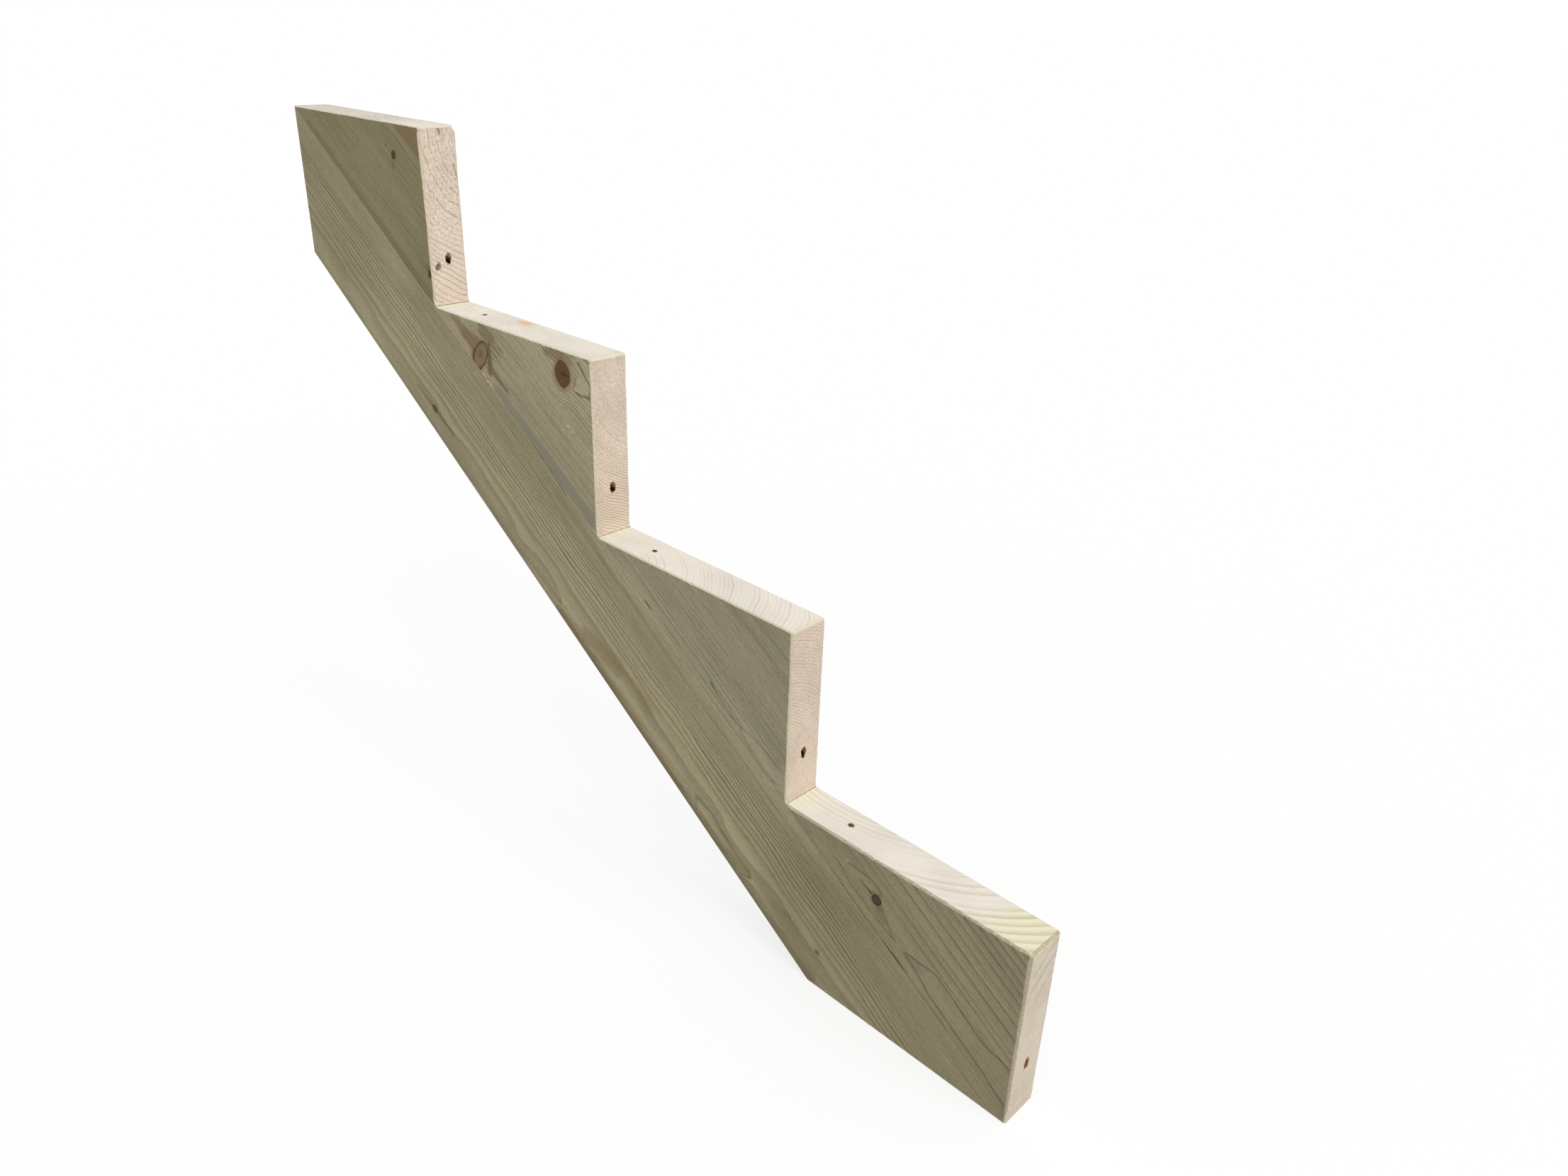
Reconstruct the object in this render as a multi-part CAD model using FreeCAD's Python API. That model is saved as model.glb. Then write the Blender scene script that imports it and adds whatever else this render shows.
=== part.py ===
"""Stair stringer for outdoor steps, built up from planed softwood.

A straight bearer board carries one triangular step block per step on its upper edge. Each block is glued
to the board along the seam and held by countersunk screws driven square to the seam, with their heads
sunk below the sawn faces: two to a block, but one in the top block, whose tread is whole. Millimetres;
+X points down the flight, +Y across the thickness, +Z up. The origin is the middle of the rear plumb cut,
where the stringer is fixed to the structure it leads up to.
"""
import math
import os

import FreeCAD
import Part

Vector = FreeCAD.Vector

# Flight
step_count = 4
rise = 190.0
going = 285.0

# Timber
thickness = 44.0
board_width = 145.0
board_edge_radius = 3.0
toe_height = 10.0

# Sawn edges of the step blocks
arris = 1.8
seam_easing = 0.5
tip_blunt = 0.5
clipped_corner = 7.0

# Screws, and the holes that take them
whole_treads = 1
tread_hole_setback = 66.0
riser_hole_height = 51.0
head_depth = 9.0
screw_length = 60.0
head_diameter = 8.0
head_rim = 0.4
shank_diameter = 3.0
smooth_length = 24.0
thread_diameter = 4.0
point_length = 6.0
recess_span = 4.4
recess_width = 1.1
recess_depth = 1.6
head_clearance = 0.25
passing_clearance = 0.25
fit_clearance = 0.05

# Worked out from the sizes above
pitch = math.atan2(rise, going)
run = step_count * going
plumb_height = board_width / math.cos(pitch)
top_z = plumb_height / 2
toe_z = top_z - step_count * rise
foot_z = toe_z - toe_height
seam_length = math.hypot(rise, going)

along_seam = Vector(math.cos(pitch), 0, -math.sin(pitch))
off_seam = Vector(math.sin(pitch), 0, math.cos(pitch))
across = Vector(0, 1, 0)


def rear_tip(step):
    """Point where a step's tread line meets the seam, counting steps from the top."""
    return Vector(step * going, 0, top_z - step * rise)


def inset_outline(points, insets):
    """Outline with each edge moved inwards by its own inset; edge i runs from point i to point i + 1."""
    count = len(points)
    moved = []
    for i in range(count):
        before = (points[i] - points[i - 1]).normalize()
        after = (points[(i + 1) % count] - points[i]).normalize()
        inward_before = across.cross(before)
        inward_after = across.cross(after)
        turn = before.dot(inward_after)
        slide = (insets[i] - insets[i - 1] * inward_before.dot(inward_after)) / turn
        moved.append(points[i] + inward_before * insets[i - 1] + before * slide)
    return moved


def plate_with_eased_edges(outline, insets, easing):
    """Plate of the full thickness whose two wide faces are drawn in by the insets, over a depth of easing."""
    half = thickness / 2
    drawn_in = inset_outline(outline, insets)
    rings = [
        [p - across * half for p in drawn_in],
        [p - across * (half - easing) for p in outline],
        [p + across * (half - easing) for p in outline],
        [p + across * half for p in drawn_in],
    ]
    faces = [Part.Face(Part.makePolygon(ring + ring[:1])) for ring in (rings[0], rings[-1])]
    for lower, upper in zip(rings, rings[1:]):
        for i in range(len(outline)):
            corners = [lower[i - 1], lower[i], upper[i], upper[i - 1]]
            faces.append(Part.Face(Part.makePolygon(corners + corners[:1])))
    plate = Part.Solid(Part.Shell(faces))
    if plate.Volume < 0:
        plate.reverse()
    return plate


def turned(profile, mouth):
    """Solid of revolution about the line that enters the wood at mouth, square to the seam.

    The profile is a list of (radius, depth) points, with depth measured into the wood.
    """
    points = [mouth + along_seam * radius - off_seam * depth for radius, depth in profile]
    return Part.Face(Part.makePolygon(points + points[:1])).revolve(mouth, off_seam, 360)


def screw_mouths(step):
    """Middles of a block's screw holes: one on the riser and, below the whole treads, one on the tread."""
    tip = rear_tip(step)
    on_tread = tip + Vector(tread_hole_setback, 0, 0)
    on_riser = tip + Vector(going, 0, riser_hole_height - rise)
    return [on_riser] if step < whole_treads else [on_tread, on_riser]


def block_hole(mouth):
    """Counterbore, cone that seats the head, and passing hole through the block."""
    wide = head_diameter / 2 + head_clearance
    narrow = thread_diameter / 2 + passing_clearance
    seat = head_depth + head_rim + head_diameter / 2 + fit_clearance
    end = head_depth + screw_length
    profile = [(0, -end), (wide, -end), (wide, seat - wide), (narrow, seat - narrow), (narrow, end), (0, end)]
    return turned(profile, mouth)


def pilot_hole(mouth):
    """Hole in the bearer board that the screw's thread fills."""
    radius = thread_diameter / 2 + fit_clearance
    tip = head_depth + screw_length + fit_clearance
    return turned([(0, 0), (radius, 0), (radius, tip - point_length), (0, tip)], mouth)


def screw(mouth):
    """Countersunk wood screw with a cross recess, seated at its depth below the mouth."""
    head = head_diameter / 2
    shank = shank_diameter / 2
    thread = thread_diameter / 2
    cone_end = head_depth + head_rim + head - shank
    thread_start = head_depth + smooth_length
    tip = head_depth + screw_length
    body = turned(
        [
            (0, head_depth),
            (head, head_depth),
            (head, head_depth + head_rim),
            (shank, cone_end),
            (shank, thread_start),
            (thread, thread_start + thread - shank),
            (thread, tip - point_length),
            (0, tip),
        ],
        mouth,
    )
    for first, second in ((across, along_seam), (along_seam, across)):
        body = body.cut(recess_wing(mouth, first, second))
    return body


def recess_wing(mouth, length_way, width_way):
    """One wing of the cross recess in a screw head."""
    middle = mouth - off_seam * head_depth
    reach = length_way * (recess_span / 2)
    side = width_way * (recess_width / 2)
    corners = [middle - reach - side, middle + reach - side, middle + reach + side, middle - reach + side]
    return Part.Face(Part.makePolygon(corners + corners[:1])).extrude(off_seam * -recess_depth)


def corner_wedge(nose):
    """Wedge knocked off the nose at the +Y face; its apex stands clear of the wood."""
    corner = nose + across * (thickness / 2)
    legs = [Vector(-clipped_corner, 0, 0), Vector(0, -clipped_corner, 0), Vector(0, 0, -clipped_corner)]
    points = [corner + leg for leg in legs]
    points.append(corner - legs[0] - legs[1] - legs[2])
    faces = []
    for left_out in points:
        triangle = [p for p in points if p is not left_out]
        faces.append(Part.Face(Part.makePolygon(triangle + triangle[:1])))
    return Part.Solid(Part.Shell(faces))


def step_block(step):
    """Triangular block under one tread, with blunt tips, an eased nose and its screw holes."""
    tip = rear_tip(step)
    nose = tip + Vector(going, 0, 0)
    seam_rear = tip + along_seam * (tip_blunt / math.tan(pitch))
    seam_front = tip + along_seam * (seam_length - tip_blunt * math.tan(pitch))
    outline = [
        seam_rear,
        seam_rear + off_seam * tip_blunt,
        nose - Vector(arris, 0, 0),
        nose - Vector(0, 0, arris),
        seam_front + off_seam * tip_blunt,
        seam_front,
    ]
    rear_inset = (arris / math.cos(pitch) + seam_easing) / math.tan(pitch)
    front_inset = (arris / math.sin(pitch) + seam_easing) * math.tan(pitch)
    insets = [rear_inset, arris, arris, arris, front_inset, seam_easing]
    block = plate_with_eased_edges(outline, insets, arris)
    for mouth in screw_mouths(step):
        block = block.cut(block_hole(mouth))
    if step == 0:
        block = block.cut(corner_wedge(nose))
    return block


def board_section():
    """Section of the bearer board at the rear tip: rounded lower arrises, lightly eased upper ones."""
    half = thickness / 2

    def at(y, drop):
        return rear_tip(0) + across * y - off_seam * drop

    radius = board_edge_radius
    bend = radius * (1 - math.sqrt(0.5))
    edges = [
        Part.LineSegment(at(half - seam_easing, 0), at(half, seam_easing)).toShape(),
        Part.LineSegment(at(half, seam_easing), at(half, board_width - radius)).toShape(),
        Part.Arc(
            at(half, board_width - radius),
            at(half - bend, board_width - bend),
            at(half - radius, board_width),
        ).toShape(),
        Part.LineSegment(at(half - radius, board_width), at(radius - half, board_width)).toShape(),
        Part.Arc(
            at(radius - half, board_width),
            at(bend - half, board_width - bend),
            at(-half, board_width - radius),
        ).toShape(),
        Part.LineSegment(at(-half, board_width - radius), at(-half, seam_easing)).toShape(),
        Part.LineSegment(at(-half, seam_easing), at(seam_easing - half, 0)).toShape(),
        Part.LineSegment(at(seam_easing - half, 0), at(half - seam_easing, 0)).toShape(),
    ]
    return Part.Face(Part.Wire(edges))


def bearer_board():
    """Length of planed board on the pitch line, cut plumb at the rear and front and level at the foot."""
    spare = along_seam * board_width
    stock = board_section().translated(-spare)
    stock = stock.extrude(along_seam * (step_count * seam_length) + spare * 2)
    corner = Vector(0, -thickness, foot_z)
    kept = Part.makeBox(run, thickness * 2, top_z - foot_z, corner)
    board = stock.common(kept)
    for step in range(step_count):
        for mouth in screw_mouths(step):
            board = board.cut(pilot_hole(mouth))
    return board


os.makedirs("parts", exist_ok=True)

pieces = {"bearer_board": bearer_board()}
for step in range(step_count):
    pieces[f"step_block_{step + 1}"] = step_block(step)
pieces["step_screws"] = Part.Compound([screw(mouth) for step in range(step_count) for mouth in screw_mouths(step)])

for name, shape in pieces.items():
    shape.exportStep(f"parts/{name}.step")
    box = shape.optimalBoundingBox()
    print(name, shape.isValid(), len(shape.Solids), f"{shape.Volume:.0f} mm3")
    print("   x", f"{box.XMin:.2f} {box.XMax:.2f}", "z", f"{box.ZMin:.2f} {box.ZMax:.2f}")
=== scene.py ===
# %% [markdown]
# A stair stringer is the sloping timber that carries one side of a flight of steps. This one is built up: a
# straight planed board runs down the pitch, and a triangular block is glued and screwed to its upper edge
# under each step. The solids come from the packed model. This file gives them the look of treated pine:
# growth rings, knots, planed wide faces, pale sawn treads and risers, broken arrises and the screws at the
# bottom of their holes.

# %% Load the packed model
import math

import bpy
import numpy as np
from mathutils import Matrix, Vector


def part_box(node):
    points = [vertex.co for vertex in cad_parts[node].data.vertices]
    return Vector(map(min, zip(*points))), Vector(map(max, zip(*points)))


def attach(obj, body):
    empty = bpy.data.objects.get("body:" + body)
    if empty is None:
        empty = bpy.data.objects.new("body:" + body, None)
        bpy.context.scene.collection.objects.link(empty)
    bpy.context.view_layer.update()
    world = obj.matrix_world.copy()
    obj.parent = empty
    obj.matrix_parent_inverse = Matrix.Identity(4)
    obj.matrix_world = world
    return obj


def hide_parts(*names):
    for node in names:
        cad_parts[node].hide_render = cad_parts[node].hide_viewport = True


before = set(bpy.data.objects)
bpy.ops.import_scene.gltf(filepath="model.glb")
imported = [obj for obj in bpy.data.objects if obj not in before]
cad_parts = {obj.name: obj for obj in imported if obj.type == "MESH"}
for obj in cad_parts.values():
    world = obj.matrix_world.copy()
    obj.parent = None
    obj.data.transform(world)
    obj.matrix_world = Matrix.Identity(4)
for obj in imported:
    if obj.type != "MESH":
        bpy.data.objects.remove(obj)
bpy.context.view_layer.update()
print("nodes", sorted(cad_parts))

# %% [markdown]
# Every measure is read from the solids, so the looks follow if the stringer is made with other sizes.
# Millimetres are used throughout, as on a joiner's rod, and turned to metres only when a mesh is made.

# %% Measure the flight
MM = 0.001
STEPS = 4
block_names = [f"step_block_{step + 1}" for step in range(STEPS)]
board_low, board_high = (np.array(corner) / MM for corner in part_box("bearer_board"))
run = board_high[0]
half_thickness = board_high[1]
top_z = board_high[2]
foot_z = board_low[2]
tread_levels = [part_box(name)[1].z / MM for name in block_names]
rise = tread_levels[0] - tread_levels[1]
going = run / STEPS
pitch = math.atan2(rise, going)
seam_length = math.hypot(rise, going)
board_width = 2 * top_z * math.cos(pitch)
print(f"rise {rise:.1f}  going {going:.1f}  pitch {math.degrees(pitch):.2f} deg  board {board_width:.1f} mm")

# %% [markdown]
# The picture was taken from in front of the lowest step, a little above the top one, with a wide lens. Its
# place and heading were worked out from the corners of the steps, so they are written down as plain
# numbers.

# %% Camera
camera_place = Vector((1.49165, -0.71333, 0.21644))
camera_right = Vector((0.71655, 0.69670, 0.03420))
camera_up = Vector((-0.33087, 0.29632, 0.89595))
camera_data = bpy.data.cameras.new("camera")
camera_data.lens = 27.107
camera_data.sensor_width = 36.0
camera_data.sensor_fit = "HORIZONTAL"
camera_data.clip_end = 500.0
camera = bpy.data.objects.new("camera", camera_data)
axes = Matrix((camera_right, camera_up, camera_right.cross(camera_up))).transposed()
camera.matrix_world = Matrix.Translation(camera_place) @ axes.to_4x4()
bpy.context.scene.collection.objects.link(camera)
bpy.context.scene.camera = camera
print("camera at", tuple(round(value, 3) for value in camera_place))

# %% [markdown]
# A material is a small graph of nodes. One helper adds a node, sets its properties, and fills its sockets
# either with a constant or with a link, so that every material below reads as a list of steps. Colours are
# written as the hex values seen on a screen and turned to linear light here.

# %% Helpers for materials
def linear(code):
    """Linear RGBA from an sRGB hex code: a channel c becomes ((c + 0.055) / 1.055) ** 2.4 above the toe."""
    channels = np.array([int(code[i:i + 2], 16) for i in (1, 3, 5)]) / 255
    light = np.where(channels <= 0.04045, channels / 12.92, ((channels + 0.055) / 1.055) ** 2.4)
    return (*light.tolist(), 1.0)


def add(tree, kind, feeds, out=0, **settings):
    """Adds a node with its settings, links or sets its sockets by feeds, and returns an output or itself."""
    made = tree.nodes.new("ShaderNode" + kind)
    for name, value in settings.items():
        setattr(made, name, value)
    for socket, value in feeds.items():
        if isinstance(value, bpy.types.NodeSocket):
            tree.links.new(value, made.inputs[socket])
        else:
            made.inputs[socket].default_value = value
    return made if out is None else made.outputs[out]


def new_material(name):
    """An empty node material and its tree."""
    material = bpy.data.materials.new(name)
    material.use_nodes = True
    material.node_tree.nodes.clear()
    return material, material.node_tree


print("white in linear light", linear("#FFFFFF")[:3])

# %% [markdown]
# The light is that of a pale studio: an even dome, and one broad soft lamp high in front of the steps, so
# treads are brightest, risers a little less, and the wide face turned to the camera lies in quiet shade.
# The floor and the dome look white to the camera, while the light that they give the wood stays at a plain
# level.

# %% Light, dome and floor
DOME = 0.52
LAMP = 1.85
FLOOR_SHADE = 0.22
toward_lamp = Vector((0.62, -0.10, 0.80))
lamp_data = bpy.data.lights.new("soft_lamp", "SUN")
lamp_data.energy = LAMP
lamp_data.angle = math.radians(50)
lamp = bpy.data.objects.new("soft_lamp", lamp_data)
lamp.rotation_euler = toward_lamp.to_track_quat("Z", "Y").to_euler()
bpy.context.scene.collection.objects.link(lamp)
bpy.context.scene.view_settings.view_transform = "Standard"


def seen_directly(tree):
    """1 for rays that show a surface, by sight, mirror or glass, and 0 for rays that carry its light."""
    path = tree.nodes.new("ShaderNodeLightPath").outputs
    mirror = add(tree, "Math", {0: path["Is Camera Ray"], 1: path["Is Glossy Ray"]}, operation="MAXIMUM")
    return add(tree, "Math", {0: mirror, 1: path["Is Transmission Ray"]}, operation="MAXIMUM")


world = bpy.data.worlds.new("white_dome")
world.use_nodes = True
bpy.context.scene.world = world
tree = world.node_tree
tree.nodes.clear()
level = add(tree, "MapRange", {0: seen_directly(tree), 3: DOME, 4: 1.0})
dome = add(tree, "Background", {0: (1, 1, 1, 1), 1: level})
add(tree, "OutputWorld", {0: dome}, out=None)

floor_material, tree = new_material("pale_studio_floor")
lit = add(tree, "BsdfDiffuse", {0: linear("#BFBDB8")})
shown = add(tree, "MixShader", {
    0: FLOOR_SHADE,
    1: add(tree, "Emission", {0: (1, 1, 1, 1), 1: 1.0}),
    2: add(tree, "BsdfDiffuse", {0: (1, 1, 1, 1)}),
})
both = add(tree, "MixShader", {0: seen_directly(tree), 1: lit, 2: shown})
add(tree, "OutputMaterial", {0: both}, out=None)

FLOOR_REACH = 150.0
FLOOR_GAP = 0.0003
floor_mesh = bpy.data.meshes.new("floor")
corners = np.array([(-1, -1), (1, -1), (1, 1), (-1, 1)]) * FLOOR_REACH
floor_points = np.column_stack([corners, np.full(4, foot_z * MM - FLOOR_GAP)])
floor_mesh.from_pydata(floor_points.tolist(), [], [(0, 1, 2, 3)])
floor_mesh.materials.append(floor_material)
floor = bpy.data.objects.new("floor", floor_mesh)
bpy.context.scene.collection.objects.link(floor)
print("floor at", round(foot_z * MM, 4), "m")

# %% [markdown]
# Timber is easiest to describe along its own grain. Here the grain of every piece runs along the seam, so a
# point has three measures: along the seam from the top rear corner, off the seam square to it, and across
# the thickness. Irregular things in wood are smooth at one size and rough at another, so one helper gives a
# smooth random value of a chosen size, as a mean of plane waves. It is seeded, so each run gives the same
# stick of wood.

# %% Along, off and across the grain
down_pitch = np.array([math.cos(pitch), 0.0, -math.sin(pitch)])
up_from_seam = np.array([math.sin(pitch), 0.0, math.cos(pitch)])
across = np.array([0.0, 1.0, 0.0])
top_corner = np.array([0.0, 0.0, top_z])


def to_grain(points):
    """x, y, z in mm as (along, off, across): dot products with the three grain directions."""
    return (points - top_corner) @ np.stack([down_pitch, up_from_seam, across], 1)


def from_grain(along, off, over):
    """(along, off, across) as x, y, z in mm: the top corner plus each measure times its direction."""
    ways = ((along, down_pitch), (off, up_from_seam), (over, across))
    parts = [np.asarray(measure, float)[..., None] * way for measure, way in ways]
    return top_corner + parts[0] + parts[1] + parts[2]


def wander(places, size, seed, waves=9):
    """Smooth random value of about -1 to 1: the mean of sines of plane waves, each about one size long."""
    draw = np.random.default_rng(seed)
    scaled = places / np.asarray(size, float)
    heading = draw.normal(size=(waves, scaled.shape[-1]))
    heading /= np.linalg.norm(heading, axis=1, keepdims=True)
    pace = draw.uniform(0.5, 1.5, (waves, 1)) * 2 * math.pi
    start = draw.uniform(0, 2 * math.pi, waves)
    return np.sin(scaled @ (heading * pace).T + start).mean(-1) * 2.0


def smooth(value, low, high):
    """0 below low, 1 above high, and 3 t squared minus 2 t cubed between."""
    t = np.clip((value - low) / (high - low), 0, 1)
    return t * t * (3 - 2 * t)


print("seam per step", round(seam_length, 1), "mm")

# %% [markdown]
# Growth rings are nested tubes round the pith of the tree, so the distance from the pith line, over the
# width of a ring, counts rings. Where a cut runs beside the pith the lines spread into broad arches; where
# it runs across the rings they crowd. Each stick was sawn from another place in a log, so each has a pith
# of its own, mostly outside it. The rings swell round the branches.

# %% Growth rings
NEAR = -half_thickness


def beside_branch(grain, branch):
    """Offsets from a branch's middle line, along the grain and square to it, over its radius; and in mm."""
    start, end = np.array(branch["face"]), np.array(branch["heart"])
    reach = (grain - start) @ (end - start) / ((end - start) @ (end - start))
    middle = start + np.clip(reach, -0.2, 1.4)[:, None] * (end - start)
    radius = branch["radius"] * np.clip(1 - 0.55 * reach, 0.15, 1.2)
    apart = grain - middle
    lengthwise = apart[:, 0] / (radius * branch["long"])
    sideways = np.hypot(apart[:, 1], apart[:, 2]) / radius
    return lengthwise, sideways, apart


def ring_count(grain, wood, seed):
    """Distance from the pith line over the ring width, after the swell round each branch and a slow wander.

    Where a wood gives lines, as offs on the near face, its rings end there and so have widths of their own.
    """
    along, off, over = grain.T.copy()
    for branch in wood["branches"]:
        lengthwise, sideways, apart = beside_branch(grain, branch)
        swell = branch["swell"] * np.exp(-(lengthwise / 1.5) ** 2 - (sideways / 1.8) ** 2)
        off = off - swell * apart[:, 1]
    along = along - wood["middle"]
    off = off - wood["fan"] * along * np.clip(off / 100, -1.5, 1.5)
    pith_off = wood["pith"][0] + wood["lean"][0] * along
    pith_over = wood["pith"][1] + wood["lean"][1] * along
    distance = np.hypot(off - pith_off, over - pith_over)
    slow = wander(grain, (420, 60, 60), seed) * wood["wave"]
    quick = wander(grain, (90, 22, 22), seed + 1) * wood["wave"] * 0.45
    distance = distance + slow + quick
    if "lines" not in wood:
        return distance / wood["ring"]
    edges = np.hypot(np.array(wood["lines"]) - wood["pith"][0], NEAR - wood["pith"][1])
    outside = distance - np.clip(distance, edges[0], edges[-1])
    return np.interp(distance, edges, np.arange(len(edges))) + outside / wood["ring"]


print("near face at", NEAR, "mm across")

# %% [markdown]
# How fast the rings go by depends on the way that a surface faces, so their pace is the slope of the count
# along the surface. Branches leave the pith outwards and show as knots where a cut meets them. A knot is
# measured from the middle line of the nearest branch, with a little wobble, so that none is a true circle.

# %% Pace of the rings, and knots
NUDGE = 0.4


def ring_pace(grain, wood, seed, facing):
    """The ring count, and rings met per mm of surface: its slope less the part along the surface's facing."""
    here = ring_count(grain, wood, seed)
    slope = np.stack([(ring_count(grain + NUDGE * way, wood, seed) - here) / NUDGE for way in np.eye(3)], -1)
    slope = slope - (slope * facing).sum(1)[:, None] * facing
    return here, np.linalg.norm(slope, axis=1)


def knot_measures(grain, wood, seed):
    """For the nearest branch: how far out a point lies, with 1 at the bark, and its tone, bark and collar."""
    far_out = np.full(len(grain), 4.0)
    looks = np.zeros((len(grain), 3))
    wobble = 1 + 0.05 * wander(grain, 16, seed + 2) + 0.02 * wander(grain, 5, seed + 3)
    for branch in wood["branches"]:
        lengthwise, sideways, _ = beside_branch(grain, branch)
        out = np.hypot(lengthwise, sideways) * wobble
        looks = np.where((out < far_out)[:, None], branch["looks"], looks)
        far_out = np.minimum(far_out, out)
    return {"knot": far_out, "knot_tone": looks[:, 0], "knot_bark": looks[:, 1], "knot_collar": looks[:, 2]}


print("slopes are taken over", NUDGE, "mm")

# %% [markdown]
# Five sticks follow, each described by what its faces show. The pith is given as (off, across); lean is how
# the pith drifts per mm of length, which draws out the arches, and fan turns the grain a little away from
# the seam. The looks of a knot are its tone, from red-brown at 0 to grey-green at 1, then how black its
# bark is, and how pale a collar of wood it has. Marks are streaks on the near face, each from one place to
# another with its two end widths, a softness, and amounts of warm, grey and dark colour; riser marks are
# the same by (across, height on the riser). Clear patches show fewer lines, and are given by middle, half
# axes and amount. The top block comes first.

# %% Top block
def branch(face, heart, radius, long=1.0, swell=0.8, looks=(0.0, 0.7, 0.0)):
    """A branch from its place on a face to a place nearer the heart, both as (along, off, across) in mm."""
    return {"face": face, "heart": heart, "radius": radius, "long": long, "swell": swell, "looks": looks}


def trail(points, width, soft, amounts):
    """Marks that follow a run of places, one mark from each place to the next."""
    return [(start, end, (width, width), soft, amounts) for start, end in zip(points, points[1:])]


top_wood = {
    "middle": seam_length * 0.5, "pith": (158, 62), "ring": 4.8,
    "lean": (0.0, 0.01), "fan": 0.02, "wave": 2.0,
    "branches": [
        branch((207.5, 98, NEAR), (205, 116, 20), 4.2, 1.0, 0.9, (0.0, 0.8, 0.0)),
        branch((190.5, 98, NEAR), (190, 110, 10), 1.1, 1.0, 0.8, (0.0, 1.0, 0.0)),
        branch((318.4, 27.5, NEAR), (317.5, 30, -18), 3.6, 0.75, 0.8, (0.0, 0.4, 0.0)),
        branch((319.2, 36, -13.2), (309.2, 29.3, -13.2), 3.6, 1.0, 0.5, (0.75, 0.9, 0.0)),
    ],
    "clear": [(240, 150, 46, 34, 1.0), (200, 70, 70, 14, 1.0)],
    "marks": [
        ((206, 151), (262, 148), (24, 18), 2.5, (0.5, 0, 0.08)),
        # Painted shade: a grey and dark band along the seam.
        ((40, 3), (330, 3), (3, 5), 6, (0, 0.1, 0.2)),
        ((207.5, 98.5), (207.5, 97.5), (1.5, 1.5), 2.5, (0, 0, 0.55)),
        ((209, 91), (213, 84), (1.5, 0.5), 4, (0.3, 0, 0.12)),
        ((311, 30), (318, 28), (1.5, 3.0), 4, (0.6, 0, 0.1)),
        ((316.5, 30.5), (319.5, 24), (1.2, 1.6), 2.0, (0.2, 0, 0.6)),
    ],
    "riser_marks": [
        ((1.0, 189), (2.5, 182), (1.2, 0.6), 1.5, (0, 0, 0.75)),
        # Painted shadow: a faint dark stripe beside the notch at the top of the riser.
        ((5.0, 188), (5.5, 174), (1.5, 0.5), 4, (0, 0, 0.22)),
        *trail([(16.3, 150), (17.5, 145), (18.5, 143), (19.0, 138), (22.0, 133)], 0.3, 1.0, (0, 0, 0.65)),
        *trail([(-15.2, 40), (-13.7, 43), (-12.0, 47)], 0.7, 1.8, (0, 0, 0.75)),
        # Painted shade: the lower part of the riser is darkened towards its foot.
        ((-22, 26), (22, 26), (24, 24), 22, (0, 0, 0.07)),
    ],
}
print("top block, knots:", len(top_wood["branches"]))

# %% [markdown]
# The second block has the two large knots: a broad grey one on the seam, with warm streaks and cracks
# running out of it, and a round red one with a pale collar near the nose.

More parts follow.
